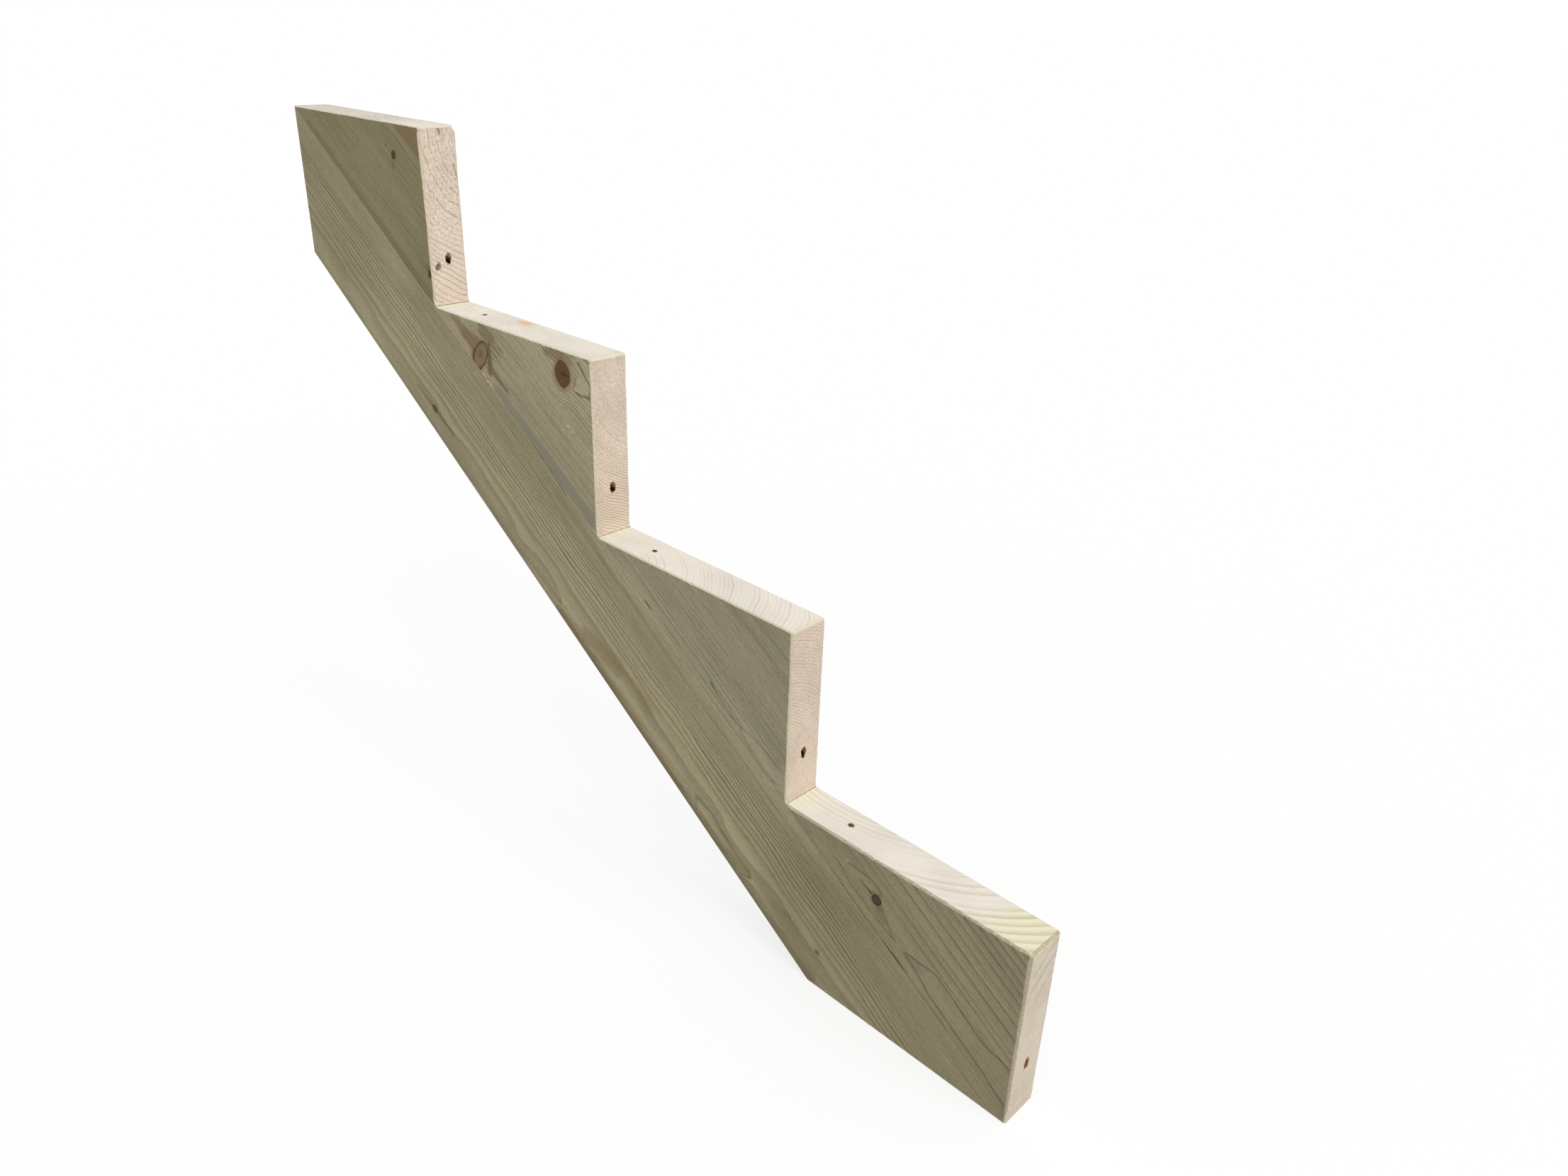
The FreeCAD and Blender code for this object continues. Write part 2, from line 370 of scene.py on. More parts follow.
# %% Second block
second_wood = {
    "middle": seam_length * 1.5, "pith": (152, 52), "ring": 2.3,
    "lean": (0.0, 0.03), "fan": 0.05, "wave": 2.0,
    "branches": [
        branch((434.8, 18, NEAR), (440, 45, 16), 16.0, 0.68, 0.9, (0.5, 0.6, 0.1)),
        branch((553.2, 111.2, NEAR), (551, 124, 16), 12.6, 1.0, 0.92, (0.0, 0.3, 0.9)),
        branch((443.0, 67.0, 13), (440.5, 58.7, 13), 7.6, 2.7, 0.2, (0.0, 0.0, 0.0)),
    ],
    "clear": [(584, 124, 11, 11, 1.0), (586, 146, 14, 8, 1.0)],
    "marks": [
        ((374, 16), (400, 17), (0.3, 3.0), 6, (0.6, 0, 0.05)),
        ((400, 17), (424, 20), (3.0, 8), 9, (0.75, 0, 0.1)),
        ((424, 44), (440, 48), (4, 4), 7, (0.25, 0, 0.25)),
        ((423.5, 4), (424.5, 14), (0.4, 0.4), 1.5, (0.2, 0, 0.75)),
        ((441, 39), (452, 22), (0.8, 2.6), 3, (0.8, 0, 0.5)),
        ((452, 22), (457, 14), (2.6, 3.0), 4, (0.8, 0, 0.35)),
        ((456, 17), (491, 19), (2.6, 0.2), 4, (0.75, 0, 0.12)),
        ((440, 51), (464, 50.5), (0.4, 0.2), 1.5, (0.1, 0, 0.4)),
        ((445, 43), (464, 44), (0.5, 0.2), 1.5, (0.2, 0, 0.5)),
        ((447, 35.5), (460, 37), (0.5, 0.2), 1.5, (0.2, 0, 0.5)),
        ((449, 29), (458, 31), (0.5, 0.2), 1.5, (0.2, 0, 0.5)),
        ((478, 5), (668, 9), (4, 6), 6, (0, 0.55, 0.05)),
        ((500, 29), (640, 32), (3, 5), 9, (0.14, 0, 0)),
        ((522, 112), (538, 126), (1, 6), 9, (0.3, 0, 0.3)),
        ((538, 126), (554, 132), (6, 2), 8, (0.25, 0, 0.2)),
        ((551.5, 110.2), (556.5, 113.2), (0.3, 0.9), 0.8, (0, 0, 1.0)),
        ((556.5, 113.2), (560.5, 114.6), (0.9, 0.4), 0.8, (0, 0, 1.0)),
        ((561.5, 109.6), (562.2, 108.2), (0.5, 0.5), 0.8, (0, 0, 0.9)),
        ((571.7, 123.5), (573.9, 111.3), (0.3, 0.3), 1.4, (0.6, 0, 0.2)),
        *trail([(566.4, 139.5), (575, 137.5), (583.9, 135), (596.5, 133.9)], 0.5, 1.4, (0, 0, 0.75)),
        *trail([(579.2, 110.3), (587, 114), (593.5, 119), (602, 124.5)], 0.6, 1.4, (0, 0, 0.65)),
        *trail([(596, 120), (596.5, 126), (594.5, 131)], 0.5, 1.3, (0, 0, 0.45)),
        ((569.9, 149.6), (583.3, 153.5), (0.4, 0.8), 2.0, (0.1, 0, 0.5)),
    ],
    # Painted shade: the lower part of the riser is darkened towards its foot.
    "riser_marks": [((-22, 22), (22, 22), (20, 20), 22, (0, 0, 0.08))],
}
print("second block, knots:", len(second_wood["branches"]))

# %% [markdown]
# The third block is straight in the grain. It has no knots, only a few dark hairlines.

# %% Third block
third_wood = {
    "middle": seam_length * 2.5, "pith": (12, -46), "ring": 2.7,
    "lean": (0.0, -0.004), "fan": 0.03, "wave": 1.0,
    "branches": [],
    "marks": [
        ((775, 4), (784, 3.5), (0.7, 0.3), 1.2, (0, 0, 0.85)),
        ((888, 15), (901, 12.5), (0.6, 0.2), 1.2, (0, 0, 0.85)),
        *trail([(901, 12.5), (939.4, 10.9), (956, 18.5), (974, 22), (1003, 26)], 0.2, 1.2, (0, 0, 0.45)),
        *trail([(939.4, 10.9), (953, 6), (977, 4.1), (1000, 4), (1011, 9)], 0.2, 1.2, (0, 0, 0.5)),
    ],
    "clear": [(985, 11, 44, 8, 1.0), (1012, 22, 16, 18, 1.0), (770, 5, 40, 5, 1.0)],
}
print("third block, knots:", len(third_wood["branches"]))

# %% [markdown]
# The lowest block has broad rings, which end at given lines, one small grey-green knot with black bark, and
# long dark lines that loop about it.

# %% Lowest block
lowest_wood = {
    "middle": seam_length * 3.5, "pith": (20, 72), "ring": 6.4,
    "lean": (0.0, 0.0), "fan": 0.0, "wave": 0.22,
    "lines": [43, 53, 61, 74.5, 88, 99, 109, 118, 127, 136, 145, 154],
    "clear": [(1125, 8, 60, 6, 1.0), (1160, 22, 70, 15, 1.0), (1240, 20, 60, 20, 1.0)],
    "branches": [
        branch((1152, 30.1, NEAR), (1153, 27, 14), 5.3, 1.0, 0.85, (1.0, 1.0, 0.0)),
    ],
    "marks": [
        *trail([
            (1110, 28.6), (1118, 33.4), (1122.7, 34.2), (1126, 37.8), (1134.7, 41.5),
            (1142.5, 42.8), (1148.3, 41.8), (1151.3, 39.6), (1150.7, 37.3), (1146, 32.5),
        ], 0.2, 1.1, (0, 0, 0.6)),
        *trail([(1129, 27.7), (1138.7, 28.6), (1144.5, 29.3)], 0.3, 1.3, (0.2, 0, 0.6)),
        *trail([
            (1157.2, 31.6), (1165.7, 26.6), (1177.6, 21.1), (1188.4, 17.1), (1191.6, 16.3),
        ], 0.3, 1.1, (0, 0, 0.55)),
        *trail([
            (1098, 17), (1109.5, 14.9), (1125.4, 11.8), (1141.4, 12.3), (1162, 12.1),
            (1175.6, 14.3), (1188, 16.1), (1191.6, 16.3),
        ], 0.2, 1.1, (0, 0, 0.55)),
        *trail([
            (1203.5, 17.1), (1213.2, 17.3), (1222.2, 15.5), (1233.1, 14.3), (1247.8, 10.5),
            (1296.6, 10.9), (1317, 10.6), (1331, 9.9), (1346, 7.9), (1361, 6.9),
        ], 0.3, 1.2, (0, 0, 0.66)),
        *trail([
            (1205.3, 19.5), (1210.1, 22.7), (1217.8, 26.7), (1228.2, 33.3), (1235.7, 37.3),
            (1262, 37), (1304.6, 35), (1313.8, 36.9), (1325.5, 42.1), (1336, 44.5),
        ], 0.3, 1.2, (0, 0, 0.66)),
        ((1208, 18.5), (1222, 22), (0.5, 5), 4, (0, 0.1, 0.14)),
        ((1141, 28.6), (1147, 31.5), (0.4, 1.8), 1.8, (1.0, 0, 0.12)),
        ((1156, 27), (1161, 25.5), (1.4, 0.4), 2.2, (0.9, 0, 0.12)),
        ((1160, 24), (1172, 20), (3, 1), 7, (0.15, 0, 0.15)),
        *trail([(1146, 27), (1148, 24.4), (1152, 23.8), (1156.4, 25.4)], 0.4, 1.2, (0, 0, 0.85)),
        ((1184, 0.5), (1199, 1.4), (0.2, 1.2), 1.4, (0.8, 0, 0.5)),
        ((1199, 1.4), (1207, 1.7), (1.3, 1.3), 1.6, (0.8, 0, 0.45)),
        ((1207, 1.7), (1220, 2.1), (1.0, 0.2), 1.4, (0.8, 0, 0.45)),
        *trail([(1220, 2.1), (1236, 1.6), (1258, 2.4), (1280, 2.0)], 0.2, 1.1, (0, 0, 0.5)),
        ((1040, 22), (1066, 28), (1, 3), 7, (0.4, 0, 0.12)),
    ],
    "riser_marks": [
        *trail([(22, 184), (6, 176), (-13, 162)], 0.6, 2.0, (0, 0, 0.20)),
        *trail([(22, 170), (9, 162), (-12, 144)], 0.6, 2.0, (0, 0, 0.24)),
        *trail([(22, 150), (12, 143), (-4, 128)], 0.6, 2.0, (0, 0, 0.18)),
        *trail([(22, 120), (21, 90), (22, 60)], 0.8, 2.0, (0, 0, 0.25)),
    ],
}
print("lowest block, knots:", len(lowest_wood["branches"]))

# %% [markdown]
# The board's rings crowd towards the seam and broaden towards its lower edge. It has two small knots near
# that edge, and warm and dark stains. Broad marks paint shade on it at its upper end, near its foot and
# along its lower edge, where the shade is tinted warm brown.

# %% The board
board_wood = {
    "middle": seam_length * 2, "pith": (-128, 46), "ring": 6.4,
    "lean": (0.004, 0.006), "fan": 0.0, "wave": 2.6,
    "lines": [
        -84, -78, -72, -65, -59, -53, -48, -43, -38, -34.5, -31,
        -27.5, -24, -20.5, -17, -14, -11, -8.5, -6, -3.5, -1,
    ],
    "clear": [
        (120, -14, 190, 20, 0.6), (900, -6, 260, 10, 0.55),
        (825, -42, 110, 36, 0.25), (1275, -30, 130, 40, 0.4),
    ],
    "branches": [
        branch((393, -117, NEAR), (392, -121, 5), 4.0, 1.3, 0.8, (0.1, 0.7, 0.0)),
        branch((1156.5, -101, NEAR), (1156, -106, 8), 3.0, 1.0, 0.8, (0.5, 0.25, 0.0)),
    ],
    "marks": [
        ((352, -118), (389, -117.5), (0.2, 1.2), 2.0, (0.5, 0, 0.25)),
        ((397, -117), (436, -116), (1.2, 0.2), 2.0, (0.8, 0, 0.4)),
        ((784, -107), (846, -101), (2, 3), 12, (0.38, 0, 0.03)),
        ((1018, -129), (1052, -125), (1, 3.5), 3.5, (0.4, 0, 0.08)),
        *trail([
            (963, -136), (952.3, -121.6), (976, -116.5), (1000, -119.5), (1023, -121.5),
            (1050, -120.5), (1056, -125), (1050, -130.5), (1023, -137), (996, -139.5),
        ], 0.6, 2.2, (0, 0, 0.5)),
        ((1150, -98), (1163, -99), (1.5, 1.0), 4, (0.3, 0, 0.12)),
        ((1070, -100), (1155, -117), (8, 8), 16, (0.14, 0, 0.07)),
        ((735, -122), (790, -108), (5, 5), 12, (0.45, 0, 0.05)),
        # Painted shade, tinted warm brown, along the lower edge.
        ((690, -145), (1010, -145), (5, 5), 16, (0.3, 0, 0.5)),
        ((1010, -145), (1170, -141), (5, 5), 16, (0.2, 0, 0.45)),
        # Painted shade: broad darkening at the upper end and near the foot, then more along the lower edge.
        ((40, -70), (150, -60), (50, 50), 70, (0, 0, 0.17)),
        ((1130, -70), (1330, -30), (40, 40), 60, (0.05, 0, 0.17)),
        ((150, -143), (690, -144), (2, 3), 8, (0.05, 0, 0.2)),
    ],
}
block_woods = [top_wood, second_wood, third_wood, lowest_wood]
print("board, knots:", len(board_wood["branches"]))

# %% [markdown]
# A mark shows only on its own face. So each point knows how it was cut: planed at 0, or by the saw as a
# tread, on the nose or as a riser, with two limits that tell them apart.

# %% How marks show
TREAD_CUT, NOSE_CUT, RISER_CUT = 0.5, 0.7, 1.0
TREAD_FROM, RISER_FROM = 0.25, 0.75
MARK_DEPTH = 7.0


def mark_amounts(grain, wood, cut):
    """Warm, grey and dark amounts: for each mark, a soft step on the distance from its line, on its face."""
    total = np.zeros((len(grain), 3))
    near = np.exp(-((grain[:, 2] - NEAR) / MARK_DEPTH) ** 2) * (cut < TREAD_FROM)
    above = grain[:, 1] / math.cos(pitch)
    ragged = wander(grain, (26, 4, 4), 71)
    marks = [(grain[:, :2], near, mark) for mark in wood["marks"]]
    on_riser = np.column_stack([grain[:, 2], above])
    marks += [(on_riser, cut > RISER_FROM, mark) for mark in wood.get("riser_marks", [])]
    for places, shown, (start, end, widths, soft, amounts) in marks:
        start, end = np.array(start, float), np.array(end, float)
        apart = places - start
        reach = np.clip(apart @ (end - start) / ((end - start) @ (end - start)), 0, 1)
        gap = np.linalg.norm(apart - reach[:, None] * (end - start), axis=1)
        width = widths[0] + reach * (widths[1] - widths[0])
        amount = shown * (1 - smooth(gap + ragged * soft * 0.25, width, width + soft))
        total = np.maximum(total, amount[:, None] * np.array(amounts))
    return total


print("marks", sum(len(wood["marks"]) for wood in block_woods + [board_wood]))

# %% [markdown]
# A mesh needs points and faces. Every stick here is a closed strip of rings: the same number of points in
# each ring, each ring joined to the next, so one function gives all the four-sided faces from whole arrays
# of numbers. Values that the material reads, such as the ring count, are kept on the points as attributes.

# %% Mesh helpers
def strip_faces(rings):
    """Four-cornered faces between neighbouring closed rings, from a table of point numbers, ring by ring."""
    ahead = np.roll(rings, -1, axis=1)
    return np.stack([rings[:-1], ahead[:-1], ahead[1:], rings[1:]], -1).reshape(-1, 4)


def fan_faces(ring, middle):
    """Three-cornered faces from a closed ring to one point in its middle."""
    return np.stack([ring, np.roll(ring, -1), np.full_like(ring, middle)], -1)


def enclosed(points, triangles):
    """Signed volume: a sixth of the sum of the triple products of each triangle's corners."""
    first, second, third = (points[triangles[:, i]] for i in range(3))
    return np.einsum("ij,ij->i", first, np.cross(second, third)).sum() / 6


SHARP_ANGLE = math.radians(32)


def build(name, points, quads, triangles, values, material):
    """Makes a mesh object from points in mm, its faces turned outwards, with an attribute for each value."""
    halves = np.concatenate([quads[:, [0, 1, 2]], quads[:, [0, 2, 3]], triangles])
    if enclosed(points, halves) < 0:
        quads, triangles = quads[:, ::-1], triangles[:, ::-1]
    mesh = bpy.data.meshes.new(name)
    mesh.vertices.add(len(points))
    mesh.vertices.foreach_set("co", (points * MM).astype(np.float32).ravel())
    corners = np.concatenate([quads.ravel(), triangles.ravel()])
    sizes = np.concatenate([np.full(len(quads), 4), np.full(len(triangles), 3)])
    mesh.loops.add(len(corners))
    mesh.loops.foreach_set("vertex_index", corners.astype(np.int32))
    mesh.polygons.add(len(sizes))
    mesh.polygons.foreach_set("loop_start", (np.cumsum(sizes) - sizes).astype(np.int32))
    mesh.update(calc_edges=True)
    mesh.validate()
    for key, value in values.items():
        mesh.attributes.new(key, "FLOAT", "POINT").data.foreach_set("value", value.astype(np.float32))
    mesh.shade_smooth()
    mesh.set_sharp_from_angle(angle=SHARP_ANGLE)
    mesh.materials.append(material)
    piece = bpy.data.objects.new(name, mesh)
    bpy.context.scene.collection.objects.link(piece)
    print(name, len(points), "points", len(halves), "triangles")
    return piece


print("two rings of three points give", len(strip_faces(np.arange(6).reshape(2, 3))), "faces")

# %% [markdown]
# Now everything about a stick is worked out for its points: rings and their pace along the surface, which
# depends on the way that the surface faces, then knots, marks and clear patches.

# %% Values on the points
BOARD_SEED = 900


def wood_values(points, wood, seed, cut):
    """The values that the wood's material reads at each point: rings, clear patches, knots and marks."""
    grain = to_grain(points)
    tread_way = np.array([-math.sin(pitch), math.cos(pitch), 0])
    riser_way = np.array([math.cos(pitch), math.sin(pitch), 0])
    facing = np.where(cut[:, None] > TREAD_FROM, tread_way, (0, 0, 1.0))
    facing = np.where(cut[:, None] > RISER_FROM, riser_way, facing)
    rings, pace = ring_pace(grain, wood, seed, facing)
    knots = knot_measures(grain, wood, seed)
    warm, grey, dark = mark_amounts(grain, wood, cut).T
    clear = np.zeros(len(grain))
    for place, level, long, wide, amount in wood.get("clear", []):
        out = np.hypot((grain[:, 0] - place) / long, (grain[:, 1] - level) / wide)
        clear = np.maximum(clear, amount * (1 - smooth(out, 0.8, 1.1)))
    return {"ring": rings, "pace": pace, "clear": clear, **knots, "warm": warm, "grey": grey, "dark": dark}


rear_point = np.array([[0.0, NEAR, 0.0]])
print("values on a point", sorted(wood_values(rear_point, board_wood, BOARD_SEED, np.zeros(1))))

# %% [markdown]
# Treated pine is a softwood: pale earlywood that darkens through each ring to a thin brown line of
# latewood. The planer left the wide faces smooth, and the salts they were treated with have turned them a
# grey olive. The saw cut the treads and risers after that, so they show the pale raw wood, with the ends of
# the fibres torn on the risers. Along every broken arris the wood is clean and yellow. One graph holds all
# of it, and the values on the points say which part shows where. It is long, so the next cells build it
# part by part, and a small class holds the tree, the look of the stick and the steps that keep coming back.

# %% Steps of the pine graph
class PineGraph:
    """A node tree for one stick of pine, its look, and the steps that the tree is made of."""

    def __init__(self, name, look):
        self.material, self.tree = new_material(name)
        self.look = look
        self.cut, self.rough = self.value("cut"), self.value("rough")

    def value(self, key):
        """A value that is kept on the points of the mesh."""
        return add(self.tree, "Attribute", {}, out=2, attribute_name=key)

    def calc(self, operation, *terms):
        """One operation on numbers."""
        return add(self.tree, "Math", dict(enumerate(terms)), operation=operation)

    def times(self, first, second):
        """A product, the operation that is needed most."""
        return self.calc("MULTIPLY", first, second)

    def step(self, term, low, high, start=0.0, end=1.0):
        """Start below low, end above high, and a smooth change between."""
        feeds = {0: term, 1: low, 2: high, 3: start, 4: end}
        return add(self.tree, "MapRange", feeds, interpolation_type="SMOOTHSTEP")

    def blend(self, amount, below, above, mode="MIX"):
        """One colour laid over another by an amount."""
        feeds = {0: amount, 6: below, 7: above}
        return add(self.tree, "Mix", feeds, out=2, data_type="RGBA", blend_type=mode)

    def speckle(self, places, scale, detail, rough=0.55):
        """Noise of about 0 to 1 at places that are stretched by the scale."""
        stretched = add(self.tree, "VectorMath", {0: places, 1: scale}, operation="MULTIPLY")
        feeds = {"Vector": stretched, "Scale": 1.0, "Detail": detail, "Roughness": rough}
        return add(self.tree, "TexNoise", feeds)


print("steps of the graph", [name for name in vars(PineGraph) if not name.startswith("_")])

# %% [markdown]
# Everything irregular in wood is drawn out along the grain. So a place on the stick is turned to grain
# coordinates, in metres along, across and off, and divided by the length and the width of what a noise
# stands for. The torn ends of fibres follow the rings instead.

# %% Noise along the grain
# Length and width in mm. Fibres and pores are coarser than real ones, so that they show in the picture.
FIBRE = (60, 0.9)
STREAK = (45, 2.0)
PORE = (4, 1.5)
DRIFT = (200, 40)


def noise_scale(size):
    """Noises per metre along, across and off the grain: one over the length, and one over the width twice."""
    long, wide = size
    return 1 / (long * MM), 1 / (wide * MM), 1 / (wide * MM)


def add_noises(pine):
    """Fibres, streaks, pores, drifts of tone and torn fibre ends, each a noise of its own size."""
    places = add(pine.tree, "TexCoord", {}, out=3)
    grain = add(pine.tree, "Mapping", {"Vector": places, "Rotation": (0, -pitch, 0)})
    pine.fibre = pine.speckle(grain, noise_scale(FIBRE), 3.0)
    pine.streak = pine.speckle(grain, noise_scale(STREAK), 2.0)
    pine.mottle = pine.speckle(grain, noise_scale(PORE), 2.0)
    pine.drift = pine.speckle(grain, noise_scale(DRIFT), 2.0)
    # Torn ends of fibres: tufts and pits a quarter of a ring wide, 2.4 mm across and 3.3 mm high.
    spot = add(pine.tree, "SeparateXYZ", {0: places}, out=None).outputs
    tuft = add(pine.tree, "CombineXYZ", {
        0: pine.times(pine.value("ring"), 4.2),
        1: pine.times(spot[1], 420),
        2: pine.times(spot[2], 300),
    })
    pine.torn = pine.speckle(tuft, (1, 1, 1), 3.0, 0.6)


print("fibres per metre across", round(noise_scale(FIBRE)[1]))

# %% [markdown]
# Latewood is a dark line that ends each ring at a sharp edge. The line stays equally wide on the surface
# wherever the rings run, so the pace of the rings turns its width in millimetres to a part of a ring. Each
# ring has a tone of its own, and streaks break the lines up. Sawn faces show the rings softer.

# %% Lines of latewood
WIDEST_LINE = 0.55


def add_lines(pine):
    """Lines from the fraction of the ring count: each climbs over its width and drops at the ring's end."""
    look = pine.look
    pace = pine.calc("MAXIMUM", pine.value("pace"), 0.02)
    shaken = pine.times(pine.calc("SUBTRACT", pine.fibre, 0.5), pine.times(pace, 0.5))
    ring = pine.calc("ADD", pine.value("ring"), shaken)
    part = pine.calc("FRACT", ring)
    width = pine.calc("MINIMUM", pine.times(pace, look["width"]), WIDEST_LINE)
    line_start = pine.calc("SUBTRACT", 1.0, width)
    line_full = pine.calc("MULTIPLY_ADD", width, -0.35, 1.0)
    line_end = pine.calc("MULTIPLY_ADD", width, -0.15, 1.0)
    line = pine.times(pine.step(part, line_start, line_full), pine.step(part, line_end, 1.0, 1.0, 0.0))
    ring_tone = add(pine.tree, "TexWhiteNoise", {"W": pine.calc("FLOOR", ring)}, noise_dimensions="1D")
    pine.whole_lines = pine.step(ring_tone, 0.0, 1.0, 0.8, 1.1)
    pine.line = pine.times(line, pine.step(pine.streak, 0.3, 0.6, 1.1, 0.6))
    pine.lined = pine.calc("SUBTRACT", 1.0, pine.value("clear"))
    planed_line = pine.times(pine.line, pine.step(ring_tone, 0.1, 1.0, look["faintest"], 1.15))
    shade = pine.step(part, 0.0, line_start, -0.6 * look["shade"], look["shade"])
    latewood = pine.calc("ADD", planed_line, shade)
    latewood = pine.times(latewood, pine.step(pace, 0.14, 0.42, 1.0, look["crowded"]))
    pine.latewood = pine.times(latewood, pine.lined)
    soft_ring = pine.times(pine.step(part, 0.25, 0.95), pine.step(part, 0.96, 1.0, 1.0, 0.0))
    pine.soft_ring = pine.times(soft_ring, pine.step(ring_tone, 0.0, 1.0, 0.2, 1.15))


print("a line takes up to", WIDEST_LINE, "of its ring")

# %% [markdown]
# Planed faces lie between two colours of wood, mottled by fibres and pores. Sawn faces are paler: soft
# rings on the treads, and on the risers, cut nearer to square across the fibres, bared lines with pits and
# tufts of torn fibre, the pits darkened as painted shade and the tufts lightened as painted light.

# %% Planed and sawn faces
# Grey of the grey stains, and of painted shade on the top block's seam and tread.
GREY_STAIN_AND_SHADE = linear("#928D82")


def planed_faces(pine):
    """Earlywood and latewood, times fibres, pores and drifts of tone, then greyed by grey stains and painted
    shade, and stained by resin and warm painted shade.
    """
    look = pine.look
    colour = pine.blend(pine.times(pine.latewood, look["lines"]), linear(look["early"]), linear(look["late"]))
    colour = pine.blend(1.0, colour, pine.step(pine.fibre, 0.25, 0.75, 0.86, 1.11), "MULTIPLY")
    colour = pine.blend(1.0, colour, pine.step(pine.mottle, 0.3, 0.7, 0.90, 1.08), "MULTIPLY")
    colour = pine.blend(1.0, colour, pine.step(pine.drift, 0.3, 0.7, 0.92, 1.06), "MULTIPLY")
    colour = pine.blend(pine.value("grey"), colour, GREY_STAIN_AND_SHADE)
    # Warm brown of resin stains, and of the painted shade along the board's lower edge.
    resin_stain_and_warm_shade = pine.times(pine.value("warm"), pine.step(pine.fibre, 0.3, 0.7, 0.55, 0.95))
    return pine.blend(resin_stain_and_warm_shade, colour, linear("#8A5E36"))


def sawn_faces(pine):
    """Treads and risers by how a point is cut, times drifts of tone, under patches of treatment salts."""
    tread_rings = pine.times(pine.soft_ring, pine.look["tread_lines"])
    tread = pine.blend(tread_rings, linear("#ECE5D8"), linear("#C2AE94"))
    # Greyer tread: painted shade towards the top tread's rear.
    tread = pine.blend(pine.value("grey"), tread, GREY_STAIN_AND_SHADE)
    lines = pine.look["riser_lines"]
    bared = pine.times(pine.step(pine.rough, 0.3, 1.0, lines, lines * 0.15), pine.lined)
    riser_lines = pine.times(pine.times(pine.line, bared), pine.whole_lines)
    riser = pine.blend(riser_lines, linear(pine.look["riser"]), linear("#9A8064"))
    soft_lines = pine.times(pine.soft_ring, pine.step(pine.rough, 0.3, 1.0, 0.0, 0.60))
    riser = pine.blend(soft_lines, riser, linear("#BFA288"))
    # Painted shade in the pits and painted light on the tufts of torn grain.
    pit_shade = pine.times(pine.step(pine.torn, 0.34, 0.48, 0.44, 0.0), pine.rough)
    riser = pine.blend(pit_shade, riser, linear("#B4957D"))
    tuft_light = pine.times(pine.step(pine.torn, 0.50, 0.64, 0.0, 0.95), pine.rough)
    riser = pine.blend(tuft_light, riser, linear("#FBF1E2"))
    sawn = pine.blend(pine.step(pine.cut, 0.55, 0.95), tread, riser)
    sawn = pine.blend(1.0, sawn, pine.step(pine.drift, 0.3, 0.7, 0.94, 1.04), "MULTIPLY")
    green = pine.blend(pine.soft_ring, linear("#EFEACB"), linear("#D0C99C"))
    patchy = pine.times(pine.value("salts"), pine.step(pine.streak, 0.35, 0.55, 0.75, 1.0))
    return pine.blend(patchy, sawn, green)


print("greyed wood", [round(channel, 3) for channel in GREY_STAIN_AND_SHADE[:3]])

# %% [markdown]
# A knot has a dark heart, brown wood in rings, a black line of bark, and a warm glow in the wood round it.
# Some have a collar of pale layers, and where the saw went through a knot it shows pale too.

# %% Knots
KNOT_TURN = 26.0
COLLAR_TURN = 34.0


def with_knots(pine, colour):
    """Glow, collar, knot and bark over a colour, each by how far out a point lies, with 1 at the bark."""
    out = pine.calc("ADD", pine.value("knot"), pine.times(pine.calc("SUBTRACT", pine.torn, 0.5), 0.10))
    tone = pine.value("knot_tone")
    fainter_sawn = pine.step(pine.cut, 0.1, 0.4, 1.0, 0.3)
    glow = pine.times(pine.step(out, 1.0, 1.7, 0.30, 0.0), fainter_sawn)
    colour = pine.blend(glow, colour, linear("#947550"))
    collar = pine.times(pine.step(out, 1.0, 1.55, 1.0, 0.0), pine.value("knot_collar"))
    layers = pine.step(pine.calc("SINE", pine.times(out, COLLAR_TURN)), 0.3, 1.0)
    colour = pine.blend(collar, colour, pine.blend(layers, linear("#B0A07A"), linear("#84704C")))
    brown = pine.blend(pine.step(out, 0.1, 0.9), linear("#6B4B2E"), linear("#785837"))
    grey = pine.blend(pine.step(out, 0.05, 0.5), linear("#866B48"), linear("#998665"))
    green = pine.blend(pine.step(out, 0.05, 0.75), linear("#4A463A"), linear("#565443"))
    knot = pine.blend(pine.step(tone, 0.0, 0.5), brown, grey)
    knot = pine.blend(pine.step(tone, 0.5, 1.0), knot, green)
    turns = pine.calc("SINE", pine.times(out, KNOT_TURN))
    knot = pine.blend(pine.step(turns, 0.2, 1.0, 0.0, 0.2), knot, linear("#4A3423"))
    orange_cut = pine.blend(pine.step(out, 0.3, 1.0), linear("#E6C49A"), linear("#EBD6B8"))
    sawn_knot = pine.blend(pine.step(tone, 0.2, 0.6), orange_cut, linear("#A89688"))
    knot = pine.blend(pine.step(pine.cut, 0.1, 0.4), knot, sawn_knot)
    colour = pine.blend(pine.step(out, 0.98, 1.08, 1.0, 0.0), colour, knot)
    bark = pine.times(pine.step(out, 0.74, 0.95), pine.step(out, 1.02, 1.14, 1.0, 0.0))
    bark = pine.times(pine.times(bark, pine.value("knot_bark")), fainter_sawn)
    return pine.blend(bark, colour, linear("#2E241B"))


print("rings in a knot", round(KNOT_TURN / (2 * math.pi), 1))
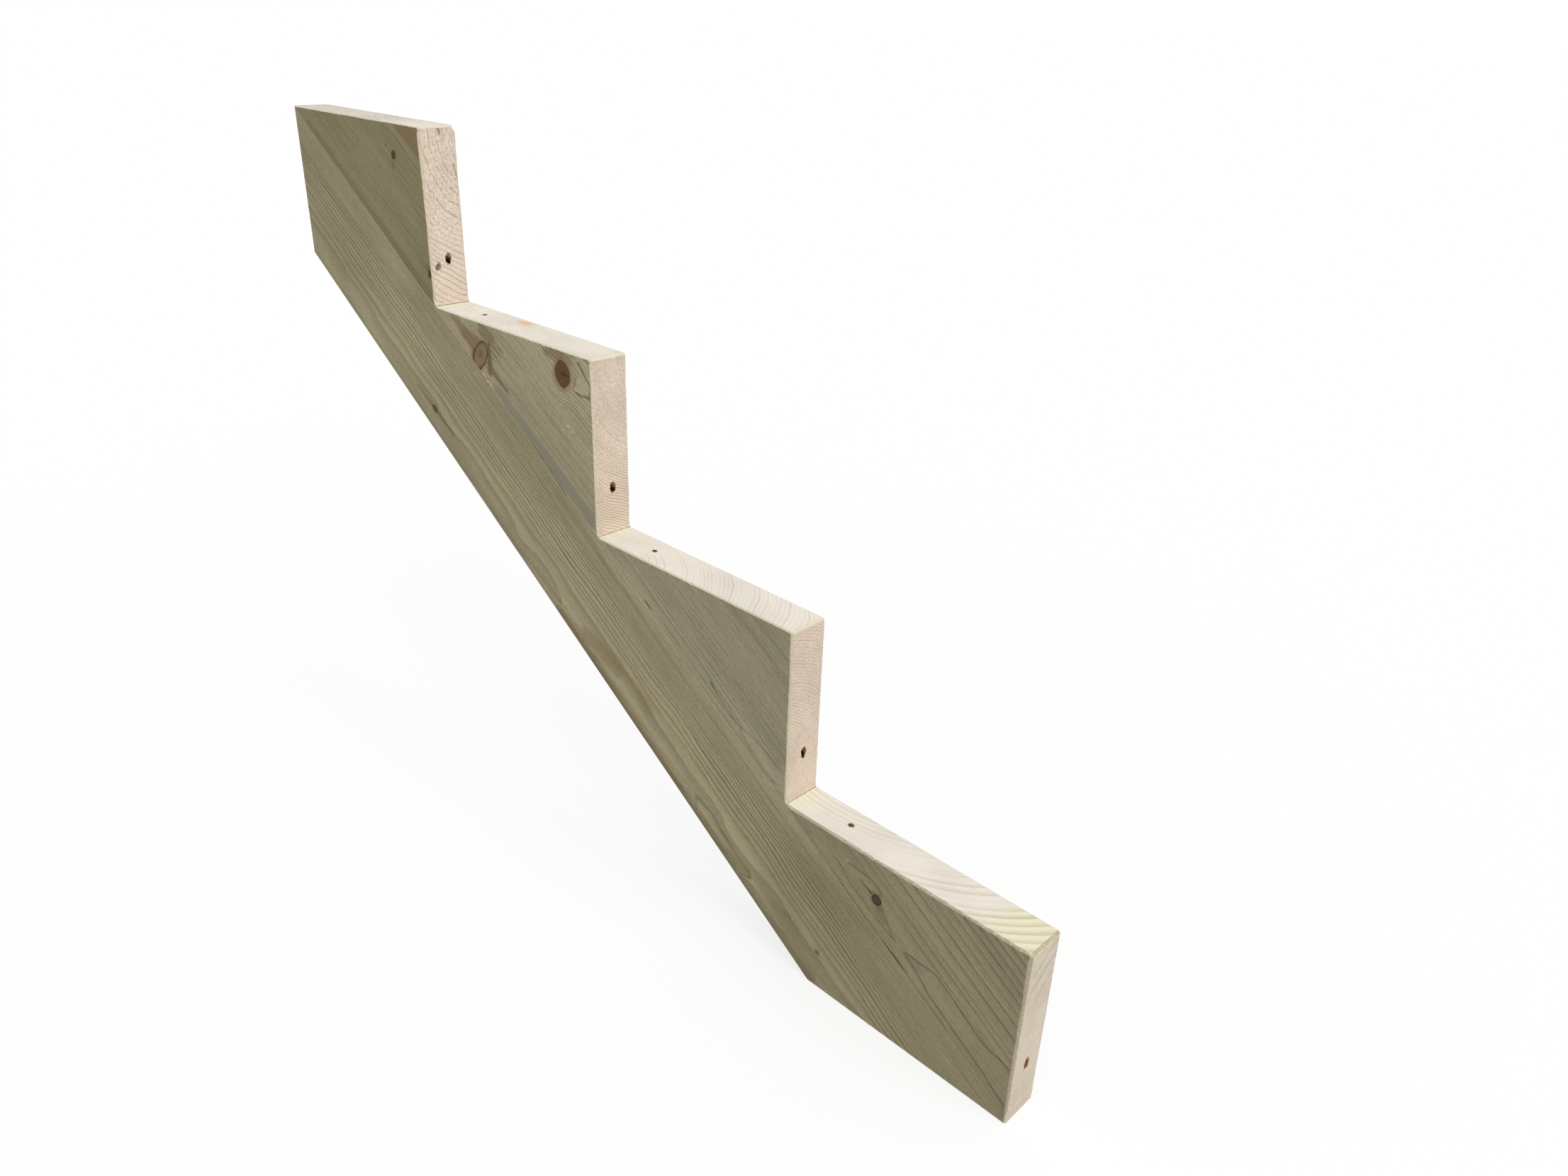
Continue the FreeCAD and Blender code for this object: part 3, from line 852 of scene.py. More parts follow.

# %% [markdown]
# Here the parts come together: the faces, then arrises, knots, dark streaks with painted shade, and screw
# holes darkened inside with painted shade, each laid over the one before. The latewood stands a little proud
# of planed faces, and sawn faces are rough all over. The table gives each stick its colours, the width of its
# lines in millimetres, and their strengths.

# %% Treated pine
def treated_pine(name, look):
    """Planed and sawn pine with the colours, widths and strengths of one look."""
    pine = PineGraph(name, look)
    add_noises(pine)
    add_lines(pine)
    colour = pine.blend(pine.step(pine.cut, 0.05, 0.40), planed_faces(pine), sawn_faces(pine))
    # Broken arrises: clean yellow wood, with fibres of the face still on it here and there.
    fresh = pine.times(pine.value("edge"), pine.step(pine.torn, 0.30, 0.55, 0.45, 0.95))
    # Where a latewood line reaches the arris, the arris stays darker: the line's own colour, and painted
    # shade for the nick that the ring leaves there.
    fresh = pine.times(fresh, pine.step(pine.line, 0.3, 0.9, 1.0, 0.35))
    colour = with_knots(pine, pine.blend(fresh, colour, linear(look["arris"])))
    # Dark streaks, resin and cracks, and painted shade along the top block's seam, beside a notch, at the
    # feet of two risers and on the board.
    dark_streaks_and_shade = pine.times(pine.value("dark"), pine.step(pine.fibre, 0.3, 0.7, 0.65, 1.0))
    colour = pine.blend(dark_streaks_and_shade, colour, linear("#3A2F1E"))
    # Screw holes: tan walls at the mouth, darkened further down with painted shade.
    bored = pine.value("bored")
    bore_wall_and_shade = pine.blend(pine.step(pine.torn, 0.35, 0.6), linear("#B06E48"), linear("#E2BE92"))
    bore_wall_and_shade = pine.blend(pine.step(bored, 0.35, 1.0), bore_wall_and_shade, linear("#2C1B12"))
    colour = pine.blend(pine.step(bored, 0.0, 0.3), colour, bore_wall_and_shade)
    planed_height = pine.times(pine.latewood, 0.00006)
    fibre_height = pine.times(pine.fibre, 0.00010)
    torn_height = pine.times(pine.times(pine.torn, pine.times(pine.cut, pine.rough)), 0.0009)
    height = pine.calc("ADD", pine.calc("ADD", planed_height, fibre_height), torn_height)
    normal = add(pine.tree, "Bump", {"Strength": 0.9, "Distance": 1.0, "Height": height})
    roughness = pine.step(pine.cut, 0.0, 0.5, 0.62, 0.88)
    shader = add(pine.tree, "BsdfPrincipled", {
        "Base Color": colour, "Roughness": roughness, "Normal": normal,
        "IOR": 1.45, "Specular IOR Level": 0.12,
    })
    add(pine.tree, "OutputMaterial", {0: shader}, out=None)
    return pine.material


LOOK_PARTS = (
    "early", "late", "arris", "riser",
    "width", "crowded", "lines", "faintest", "shade", "tread_lines", "riser_lines",
)
looks = {
    "olive": ("#9D9573", "#5A523B", "#EADBC4", "#EFDDCB", 1.3, 1.0, 0.80, 0.10, 0.08, 0.30, 0.85),
    "pale": ("#C6BD9D", "#645C46", "#EAE3C4", "#EDDAC6", 1.15, 1.0, 0.92, 0.40, 0.20, 0.20, 0.95),
    "straight": ("#B6AE92", "#645C46", "#DCD5B6", "#E4D2BF", 1.1, 1.0, 0.88, 0.45, 0.18, 0.36, 0.60),
    "broad_ring": ("#A69D7F", "#564E38", "#AAA082", "#DFD2C1", 1.7, 1.0, 0.80, 0.40, 0.16, 0.34, 0.32),
    "board": ("#BDB491", "#5C543E", "#DCD5B6", "#E6D6C4", 1.4, 0.75, 0.95, 0.30, 0.30, 0.30, 0.50),
}
*block_materials, board_material = (
    treated_pine(f"treated_pine_{name}", dict(zip(LOOK_PARTS, look))) for name, look in looks.items()
)
print("materials", len(bpy.data.materials))

# %% [markdown]
# A step block is a thick triangle. Its outline runs along the tread, over the nose, down the riser and back
# up the seam, and the block is that outline drawn in by a varying inset: by the full inner radius in the
# middle of the wide face, by a couple of millimetres where the arris starts, and by almost nothing on the
# sawn faces. Scaling about the middle of the inscribed circle moves every side in by the same amount, so
# one formula makes face, arris and wall.

# %% Outline of a step block
TIP_BLUNT = 0.25
NOSE_RADIUS = 2.2
TREAD, NOSE, RISER, SEAM = range(4)
SIDE_POINTS = {TREAD: 250, NOSE: 6, RISER: 168, SEAM: 92}


def block_outline(step):
    """Points (x, z) round a block in mm, the side of each, and the inscribed circle's middle and radius."""
    rear = np.array([step * going, tread_levels[step]])
    nose = rear + (going, 0)
    front = nose - (0, rise)
    tread_start = rear + (TIP_BLUNT / math.sin(pitch), 0)
    riser_end = front + (0, TIP_BLUNT / math.cos(pitch))
    turn = np.linspace(0, math.pi / 2, SIDE_POINTS[NOSE], endpoint=False)[:, None]
    bend = nose - NOSE_RADIUS + NOSE_RADIUS * np.concatenate([np.sin(turn), np.cos(turn)], 1)
    along_tread, along_riser, along_seam = (
        np.linspace(0, 1, SIDE_POINTS[side], endpoint=False)[:, None] for side in (TREAD, RISER, SEAM)
    )
    sides = [
        tread_start + along_tread * (nose - (NOSE_RADIUS, 0) - tread_start),
        bend,
        nose - (0, NOSE_RADIUS) + along_riser * (riser_end - nose + (0, NOSE_RADIUS)),
        front + along_seam * (rear - front),
    ]
    side = np.repeat(list(SIDE_POINTS), [len(points) for points in sides])
    inner_radius = (going + rise - seam_length) / 2
    middle = nose - inner_radius
    return np.concatenate(sides), side, middle, inner_radius


outline, _, _, inner_radius = block_outline(0)
print("outline points", len(outline), " inner radius", round(inner_radius, 2), "mm")

# %% [markdown]
# The arrises were knocked off by hand after sawing, and softwood breaks out in small scallops between the
# hard lines of latewood. So the width of an arris follows a broad wave, a quick scallop, and a nick at each
# ring that reaches the edge. The faces are cut with a saw: the treads are flat to a tenth, the risers are
# torn deeper.

# %% Arrises and sawn faces
ARRIS_LIMITS = (0.9, 5.6)
NOSE_ARRIS = 1.8
SEAM_EASE = 0.25


def arris_width(outline_points, side, wood, seed, face, worked):
    """Width of the broken arris in mm: a base, a broad wave, a scallop, nicks at rings and nose wear."""
    points = np.column_stack([outline_points[:, 0], np.full(len(side), face), outline_points[:, 1]])
    phase = ring_count(to_grain(points), wood, seed) % 1
    nick = smooth(phase, 0.35, 0.8) * (1 - smooth(phase, 0.9, 1.0))
    scallop = np.abs(wander(points, 9, seed + 11)) + 0.7 * np.abs(wander(points, 4, seed + 12))
    below_nose = outline_points[:, 1].max() - outline_points[:, 1]
    worn = 1 - smooth(below_nose, 5, 75)
    ragged = np.where(side == TREAD, worked["tread_ragged"], 1 - 0.75 * worn * (worked["nose_wear"] > 1))
    broad = worked["wave"] * (0.9 + wander(points, 48, seed + 13))
    width = worked["base"] + (broad + worked["scallop"] * scallop + 0.5 * nick) * ragged
    width = width + worked["nose_wear"] * (side == RISER) * worn
    width = np.where(side == SEAM, SEAM_EASE, np.clip(width, *ARRIS_LIMITS))
    smoothed = sum(np.roll(width, shift) for shift in (-1, 0, 1)) / 3
    return np.where(side == NOSE, np.maximum(smoothed, NOSE_ARRIS), smoothed)


def wall_recess(points, side, wood, seed, torn):
    """How far the sawn faces lie below true, in mm: torn fibres, softer earlywood, and a slow unevenness."""
    phase = ring_count(to_grain(points), wood, seed) % 1
    hollow = 1 - smooth(phase, 0.4, 0.85) * (1 - smooth(phase, 0.93, 1.0))
    fine = 0.5 + 0.5 * wander(points, 3.2, seed + 21)
    slow = 0.5 + 0.5 * wander(points, 24, seed + 22)
    depth = np.clip(0.30 * fine + 0.28 * slow + 0.16 * hollow, 0, 1.2)
    return depth * np.select([side == TREAD, side == RISER, side == NOSE], [0.35, torn, 0.5], 0.0)


print("arrises", *ARRIS_LIMITS, "mm wide at the limits")

# %% [markdown]
# The block is a stack of rings from the middle of the near face to the middle of the far one: rings that
# spread over the face, three rows round its arris, rows along the sawn wall, and the same again on the far
# side. Each point is told how it was cut, and whether it lies on a broken edge.

# %% Rings of a step block
NEAR_RINGS = 88
FAR_RINGS = 24
WALL_ROWS = 36
ARRIS_ROWS = 3
ROW_GAP = 0.4
ARRIS_DEPTH = 0.8
ARRIS_BEND_IN = 0.42
ARRIS_BEND_ACROSS = 0.30


def block_rings(step, wood, seed, worked):
    """Points ring by ring from the near face's middle to the far face's, and their cut and edge values."""
    outline, side, middle, radius = block_outline(step)
    near = arris_width(outline, side, wood, seed, NEAR, worked)
    far = arris_width(outline, side, wood, seed + 40, half_thickness, {**worked, "nose_wear": 0.0}) * 0.75
    near_share, far_share = (np.linspace(0, 1, count + 1)[1:, None] for count in (NEAR_RINGS, FAR_RINGS))
    face_near = radius - (radius - near - ROW_GAP) * near_share
    face_far = (radius - (radius - far - ROW_GAP) * far_share)[::-1]
    lean = np.linspace(0, 1, WALL_ROWS)[:, None]
    y_near, y_far = NEAR + ARRIS_DEPTH * near, half_thickness - ARRIS_DEPTH * far
    wall_y = y_near + ROW_GAP + (y_far - y_near - 2 * ROW_GAP) * lean
    inset = np.concatenate([
        face_near, [near, near * ARRIS_BEND_IN],
        np.zeros((WALL_ROWS + 2, len(side))),
        [far * ARRIS_BEND_IN, far], face_far,
    ])
    y = np.concatenate([
        np.full((NEAR_RINGS + 1, len(side)), NEAR),
        [NEAR + ARRIS_BEND_ACROSS * near, y_near], wall_y, [y_far, half_thickness - ARRIS_BEND_ACROSS * far],
        np.full((FAR_RINGS + 1, len(side)), half_thickness),
    ])
    rows = len(inset)
    grid = np.stack([np.broadcast_to(outline[:, 0], y.shape), y, np.broadcast_to(outline[:, 1], y.shape)], -1)
    spread = np.broadcast_to(side, y.shape)
    recess = wall_recess(grid.reshape(-1, 3), spread.ravel(), wood, seed, worked["torn"]).reshape(y.shape)
    wall = slice(NEAR_RINGS + 1, rows - FAR_RINGS - 1)
    inset[wall] += recess[wall]
    scale = 1 - inset / radius
    points = np.stack([
        middle[0] + scale * (outline[:, 0] - middle[0]), y, middle[1] + scale * (outline[:, 1] - middle[1]),
    ], -1)
    kind = np.select([side == TREAD, side == NOSE, side == RISER], [TREAD_CUT, NOSE_CUT, RISER_CUT], 0.0)
    cut = np.zeros_like(y)
    cut[NEAR_RINGS:rows - FAR_RINGS] = kind
    edge = np.zeros_like(y)
    edge[NEAR_RINGS:NEAR_RINGS + ARRIS_ROWS] = (kind > 0) * worked["fresh"]
    edge[rows - FAR_RINGS - ARRIS_ROWS:rows - FAR_RINGS] = (kind > 0) * worked["fresh"]
    edge[wall] = np.maximum(edge[wall], (side == NOSE) * worked["fresh"])
    return points, cut, edge, middle


print("rows per block", NEAR_RINGS + FAR_RINGS + WALL_ROWS + 2 * ARRIS_ROWS)

# %% [markdown]
# The screw holes are bored square to the seam: one enters each riser, and one each tread but the top one.
# They slant to the face that they enter, so their mouths are ovals. A patch of the wall's faces is left out
# round each mouth, and a few rings of points lead from the edge of that patch to the ragged oval, down the
# bore, and in to the screw.

# %% Screw holes
HOLE_RADIUS = 4.25
HOLE_DEPTH = 9.2
SEAT_RADIUS = 2.25
SEAT_DEPTH = 11.2
PATCH_MARGIN = 3.5
LIP_SHARES = (0.35, 0.65, 0.88, 1.0)
BORE_SHARES = (0.06, 0.2, 0.4, 0.6, 0.8, 1.0)
TREAD_SETBACK = 66.0
RISER_HEIGHT = 51.0


def bore(points, numbers, step, on_riser, seed, first_new, hole_stain_and_shade):
    """Rings of points that lead from a gap in the wall down a screw hole, and the faces left out for them.

    On the bore, a point at angle t lies at radius * (cos t along the seam + sin t across), moved along the
    axis until it meets the sawn face; deeper rings slide from there to a level ring above the screw head.
    """
    rear = np.array([step * going, 0.0, tread_levels[step]])
    mouth = rear + ((going, 0, RISER_HEIGHT - rise) if on_riser else (TREAD_SETBACK, 0, 0))
    axis_rise = -1 / math.tan(pitch) if on_riser else math.tan(pitch)
    stretch = -1 / math.sin(pitch) if on_riser else 1 / math.cos(pitch)
    face_way = 2 if on_riser else 0
    first_side = SIDE_POINTS[TREAD] + SIDE_POINTS[NOSE] if on_riser else 0
    count = SIDE_POINTS[RISER if on_riser else TREAD]
    first_row = NEAR_RINGS + ARRIS_ROWS
    place = points[first_row + WALL_ROWS // 2, first_side:first_side + count, face_way] - mouth[face_way]
    columns = first_side + np.flatnonzero(np.abs(place) < HOLE_RADIUS * abs(stretch) + PATCH_MARGIN)
    level = points[first_row:first_row + WALL_ROWS, columns[len(columns) // 2], 1]
    rows = first_row + np.flatnonzero(np.abs(level) < HOLE_RADIUS + PATCH_MARGIN)
    low, high, left, right = rows[0], rows[-1], columns[0], columns[-1]
    border = np.concatenate([
        numbers[low, left:right], numbers[low:high, right],
        numbers[high, right:left:-1], numbers[high:low:-1, left],
    ])
    rim = points.reshape(-1, 3)[border]
    turn = np.arctan2(rim[:, 1] / HOLE_RADIUS, (rim[:, face_way] - mouth[face_way]) / (stretch * HOLE_RADIUS))
    circle = np.cos(turn)[:, None] * down_pitch + np.sin(turn)[:, None] * across
    lift = (axis_rise * HOLE_RADIUS * np.cos(turn))[:, None]
    ragged = (0.84 if on_riser else 0.60) + 0.15 * wander(circle, 0.8, seed)[:, None]
    oval = mouth + circle * HOLE_RADIUS + lift * up_from_seam
    torn_oval = mouth + (oval - mouth) * ragged
    rings = [rim + (torn_oval - rim) * share for share in LIP_SHARES]
    for share in BORE_SHARES:
        uneven = np.clip(1 + 0.05 * wander(circle + share, 1.1, seed + 3), 0.97, 1.1)[:, None]
        depth = lift * (1 - share) - HOLE_DEPTH * share
        rings.append(mouth + circle * HOLE_RADIUS * uneven + depth * up_from_seam)
    rings.append(mouth + circle * SEAT_RADIUS - SEAT_DEPTH * up_from_seam)
    made = np.concatenate(rings + [[mouth - SEAT_DEPTH * up_from_seam]])
    ring_numbers = first_new + np.arange(len(rings) * len(border)).reshape(len(rings), -1)
    quads = strip_faces(np.vstack([border, ring_numbers]))
    triangles = fan_faces(ring_numbers[-1], first_new + len(made) - 1)
    # Reddish stain at the rim, then painted shade darkening the bore further down, scaled for each hole.
    rim_stain = [0, 0.12] if on_riser else [0.4, 0.9]
    bored = np.repeat([0, 0, *rim_stain, 0.3, 0.4, 0.6, 0.8, 1, 1, 1], len(border)) * hole_stain_and_shade
    torn_lip = np.zeros((len(rings), len(border)))
    torn_lip[2:5] = smooth(np.cos(turn), 0.0, 0.6) * (0.95 if on_riser else 0.3)
    return made, quads, triangles, np.append(bored, 1.0), np.append(torn_lip, 0.0), (low, high, left, right)


print("bore", 2 * HOLE_RADIUS, "mm wide,", HOLE_DEPTH, "mm deep")

# %% [markdown]
# Each block was sawn, broken and handled in its own way. A row says how its arrises are broken, how deep
# its risers are torn, how fresh its edges look, how much salt its tread has, and how much painted shade
# greys its tread towards the rear. The last two parts are the roughness of the riser at the foot and at the
# nose, and how strongly each hole is stained at its rim and darkened deeper down with painted shade, with
# True for the one in the riser.

# %% How each block was worked
WORKED_PARTS = (
    "base", "wave", "scallop", "nose_wear", "tread_ragged",
    "torn", "fresh", "salts", "tip_salts", "tread_shade", "rough", "holes",
)
worked_rows = [
    (0.9, 0.75, 0.85, 3.0, 0.30, 1.25, 0.95, 0.0, 0.0, 0.24, (0.35, 1.0), {True: 1.0}),
    (0.9, 0.35, 0.85, 0.8, 0.65, 0.80, 1.00, 0.0, 0.7, 0.00, (0.40, 0.8), {False: 0.2, True: 1.0}),
    (0.9, 0.30, 0.75, 0.6, 0.70, 0.70, 0.90, 0.0, 0.5, 0.00, (0.50, 0.55), {False: 0.25, True: 1.0}),
    (1.3, 0.40, 0.45, 1.6, 0.80, 0.50, 0.85, 0.9, 0.5, 0.00, (0.30, 0.3), {False: 0.25, True: 0.28}),
]
blocks_worked = [dict(zip(WORKED_PARTS, row)) for row in worked_rows]
print("holes", sum(len(worked["holes"]) for worked in blocks_worked))

# %% [markdown]
# Now the four blocks. The top one has the roughest riser, a wavy edge, a corner of its nose knocked off on
# the far side, and a tread greyed towards the rear with painted shade; the lowest has a patch of the
# green-yellow treatment salts left near its nose.

# %% Build the step blocks
CLIPPED_CORNER = 8.0
TREAD_SKIN = 4.0


def step_block(step):
    """One block: rings closed by a fan on each wide face, with its bores let into the wall."""
    wood, seed = block_woods[step], 100 * (step + 1)
    worked = blocks_worked[step]
    points, cut, edge, middle = block_rings(step, wood, seed, worked)
    rows, columns = cut.shape
    numbers = np.arange(rows * columns).reshape(rows, columns)
    poles = [[middle[0], NEAR, middle[1]], [middle[0], half_thickness, middle[1]]]
    every = [points.reshape(-1, 3), poles]
    total = rows * columns + 2
    kept = np.ones((rows - 1, columns), bool)
    cuts = [cut.ravel(), np.zeros(2)]
    edges = [edge.ravel(), np.zeros(2)]
    bored = [np.zeros(total)]
    quads = []
    triangles = [fan_faces(numbers[0][::-1], total - 2), fan_faces(numbers[-1], total - 1)]
    for on_riser, hole_stain_and_shade in worked["holes"].items():
        made, sides, ends, depth, torn_lip, patch = bore(points, numbers, step, on_riser, seed, total, hole_stain_and_shade)
        low, high, left, right = patch
        kept[low:high, left:right] = False
        every.append(made)
        quads.append(sides)
        triangles.append(ends)
        cuts.append(np.full(len(made), RISER_CUT if on_riser else TREAD_CUT))
        edges.append(torn_lip)
        bored.append(depth)
        total += len(made)
    quads.append(strip_faces(numbers).reshape(rows - 1, columns, 4)[kept])
    every = np.concatenate(every)
    if step == 0:
        nose = np.array([going, half_thickness, tread_levels[0]])
        beyond = np.clip((every - nose).sum(1) + CLIPPED_CORNER, 0, None) / 3
        every = every - beyond[:, None]
    cut = np.concatenate(cuts)
    values = wood_values(every, wood, seed, cut)
    values["cut"] = cut
    values["bored"] = np.concatenate(bored)
    values["edge"] = np.concatenate(edges)
    from_nose = (step + 1) * going - every[:, 0]
    on_tread = every[:, 2] > tread_levels[step] - TREAD_SKIN
    fade = 1 - smooth(from_nose + 14 * wander(every, 40, seed + 31), 25, 70)
    from_rear = every[:, 0] - step * going
    tip_fade = 1 - smooth(from_rear + 3 * wander(every, 12, seed + 32), 4, 24)
    values["salts"] = np.maximum(worked["salts"] * fade, worked["tip_salts"] * tip_fade) * on_tread
    # Painted shade: the top tread is greyed towards its rear.
    painted_tread_shade = worked["tread_shade"] * smooth(from_nose, 30, 120) * (cut == TREAD_CUT)
    values["grey"] = np.maximum(values["grey"], painted_tread_shade)
    up_riser = smooth(every[:, 2], tread_levels[step] - rise * 0.85, tread_levels[step] - rise * 0.45)
    foot_rough, nose_rough = worked["rough"]
    values["rough"] = foot_rough + up_riser * (nose_rough - foot_rough)
    faces = np.concatenate(quads), np.concatenate(triangles)
    piece = build(f"block_{step + 1}", every, *faces, values, block_materials[step])
    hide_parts(block_names[step])
    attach(piece, "root")
    return piece


blocks = [step_block(step) for step in range(STEPS)]
print("blocks", [block.name for block in blocks])

# %% [markdown]
# The bearer board is a section carried along the pitch. Its section is a closed loop of points: down the
# near face from the seam, where it is eased, round the lower arris, across the lower edge, and back up the
# far face.

# %% Section of the board
LOWER_RADIUS = 3.0
BOARD_ROWS = 56
THICKNESS_POINTS = 15


def board_section():
    """Offs and half widths down the wide face: eased at the seam, straight, then round the lower arris."""
    toe_off = run * math.sin(pitch) + (foot_z - top_z) * math.cos(pitch)
    straight = np.linspace(-SEAM_EASE, LOWER_RADIUS - board_width, BOARD_ROWS)
    straight[np.argmin(np.abs(straight - toe_off))] = toe_off
    turn = np.linspace(0, math.pi / 2, 6)[1:]
    off = np.concatenate([[0.0], straight, LOWER_RADIUS * (1 - np.sin(turn)) - board_width])
    width = np.concatenate([
        [half_thickness - SEAM_EASE], np.full(BOARD_ROWS, half_thickness),
        half_thickness - LOWER_RADIUS * (1 - np.cos(turn)),
    ])
    return off, width


section_off, section_width = board_section()
side_count = len(section_off)
between = np.linspace(-1, 1, THICKNESS_POINTS + 2)[1:-1]
loop_off = np.concatenate([
    section_off, np.full(THICKNESS_POINTS, section_off[-1]),
    section_off[::-1], np.full(THICKNESS_POINTS, section_off[0]),
])
loop_over = np.concatenate([
    -section_width, between * section_width[-1], section_width[::-1], -between * section_width[0],
])
print("section points", len(loop_off))

# %% [markdown]
# Each point of the section starts on the rear plumb cut and ends on the toe's plumb cut or the level foot,
# whichever the grain meets first, so the ends come out true to the cuts. Close to each end the board is
# eased.

# %% Lengths of the board
BOARD_LENGTHS = 520
END_EASE = 1.4
END_REACH = 2.0


def board_ends(off):
    """Where the grain at a given off starts, on the rear cut, and ends, on the toe or the foot."""
    start = -off * math.tan(pitch)
    toe = (run - off * math.sin(pitch)) / math.cos(pitch)
    foot = (top_z - foot_z + off * math.cos(pitch)) / math.sin(pitch)
    return start, np.minimum(toe, foot)


end_steps = np.array([0.0, 0.5, 1.1])
inner_steps = np.full(BOARD_LENGTHS + len(end_steps), END_REACH)
from_start = np.concatenate([end_steps, inner_steps])
to_end = np.concatenate([inner_steps, end_steps[::-1]])
shares = np.concatenate([
    np.zeros_like(end_steps), np.linspace(0, 1, BOARD_LENGTHS), np.ones_like(end_steps),
])
ease = END_EASE * np.clip(1 - np.minimum(from_start, to_end) / END_REACH, 0, 1)
start, end = board_ends(loop_off)
inner_length = end - start - 2 * END_REACH
along = start + from_start[:, None] + inner_length * shares[:, None] + (END_REACH - to_end)[:, None]
uneven = 1 + 0.5 * wander(np.column_stack([loop_off, loop_over]), 9, 905)
over = np.sign(loop_over) * np.maximum(np.abs(loop_over) - ease[:, None] * uneven, 0)
on_wide_face = np.abs(loop_over) > half_thickness - LOWER_RADIUS - 0.1
over = np.where(on_wide_face, over, loop_over * (1 - ease[:, None] / 30))
board_points = from_grain(along, np.broadcast_to(loop_off, along.shape), over)
rows, columns = along.shape
numbers = np.arange(rows * columns).reshape(rows, columns)
print("board points", rows * columns)

# %% [markdown]
# Two small grids close the ends of the board. They are sawn and raw, and so is the eased edge round them.

# %% Build the bearer board
END_CUT = 0.9


def end_grid(row, first_new):
    """Inner points and faces that close one end: near and far points are joined across the thickness."""
    near = numbers[row, :side_count]
    far = numbers[row, side_count + THICKNESS_POINTS:2 * side_count + THICKNESS_POINTS][::-1]
    top = numbers[row, 2 * side_count + THICKNESS_POINTS:][::-1]
    bottom = numbers[row, side_count:side_count + THICKNESS_POINTS]
    flat = board_points.reshape(-1, 3)
    part = (between[:, None, None] + 1) / 2
    inner = flat[near][None, 1:-1] * (1 - part) + flat[far][None, 1:-1] * part
    table = np.empty((side_count, THICKNESS_POINTS + 2), int)
    table[:, 0], table[:, -1] = near, far
    table[0, 1:-1], table[-1, 1:-1] = top, bottom
    table[1:-1, 1:-1] = first_new + np.arange(inner.shape[0] * inner.shape[1]).reshape(inner.shape[:2]).T
    quads = np.stack([table[:-1, :-1], table[1:, :-1], table[1:, 1:], table[:-1, 1:]], -1).reshape(-1, 4)
    return inner.reshape(-1, 3), quads


rear_inner, rear_quads = end_grid(0, rows * columns)
toe_inner, toe_quads = end_grid(rows - 1, rows * columns + len(rear_inner))
every = np.concatenate([board_points.reshape(-1, 3), rear_inner, toe_inner])
at_end = np.repeat((ease > 0).astype(float), columns)
extra = len(rear_inner) + len(toe_inner)
cut = END_CUT * np.append(at_end, np.ones(extra))
values = wood_values(every, board_wood, BOARD_SEED, cut)
values["cut"] = cut
values["edge"] = 0.8 * np.append(at_end, np.zeros(extra))
for key, amount in {"bored": 0.0, "salts": 0.0, "rough": 0.6}.items():
    values[key] = np.full(len(every), amount)
board_quads = np.concatenate([strip_faces(numbers), rear_quads[:, ::-1], toe_quads])
board = build("board", every, board_quads, np.zeros((0, 3), int), values, board_material)
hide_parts("bearer_board")
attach(board, "root")

# %% [markdown]
# The screws are real solids already, so they keep their shape and only get a finish: steel plated with zinc
# and passivated yellow, which reads as a soft gold with faint clouding.

# %% Yellow zinc on the screws
zinc, tree = new_material("yellow_zinc_plated_steel")
cloud = add(tree, "TexNoise", {"Vector": add(tree, "TexCoord", {}, out=3), "Scale": 400.0, "Detail": 2.0})
tint = add(tree, "Mix", {0: cloud, 6: linear("#D8B45C"), 7: linear("#EAD79A")}, out=2, data_type="RGBA")
dull = add(tree, "MapRange", {0: cloud, 3: 0.32, 4: 0.5})
shader = add(tree, "BsdfPrincipled", {"Base Color": tint, "Metallic": 0.85, "Roughness": dull})
add(tree, "OutputMaterial", {0: shader}, out=None)
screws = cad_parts["step_screws"]
screws.data.materials.clear()
screws.data.materials.append(zinc)
print("screws", len(screws.data.polygons), "faces")

# %% [markdown]
# A few drops of glue were pressed out of the seam and dried on the second block. Each is a low dome on the
# near face.

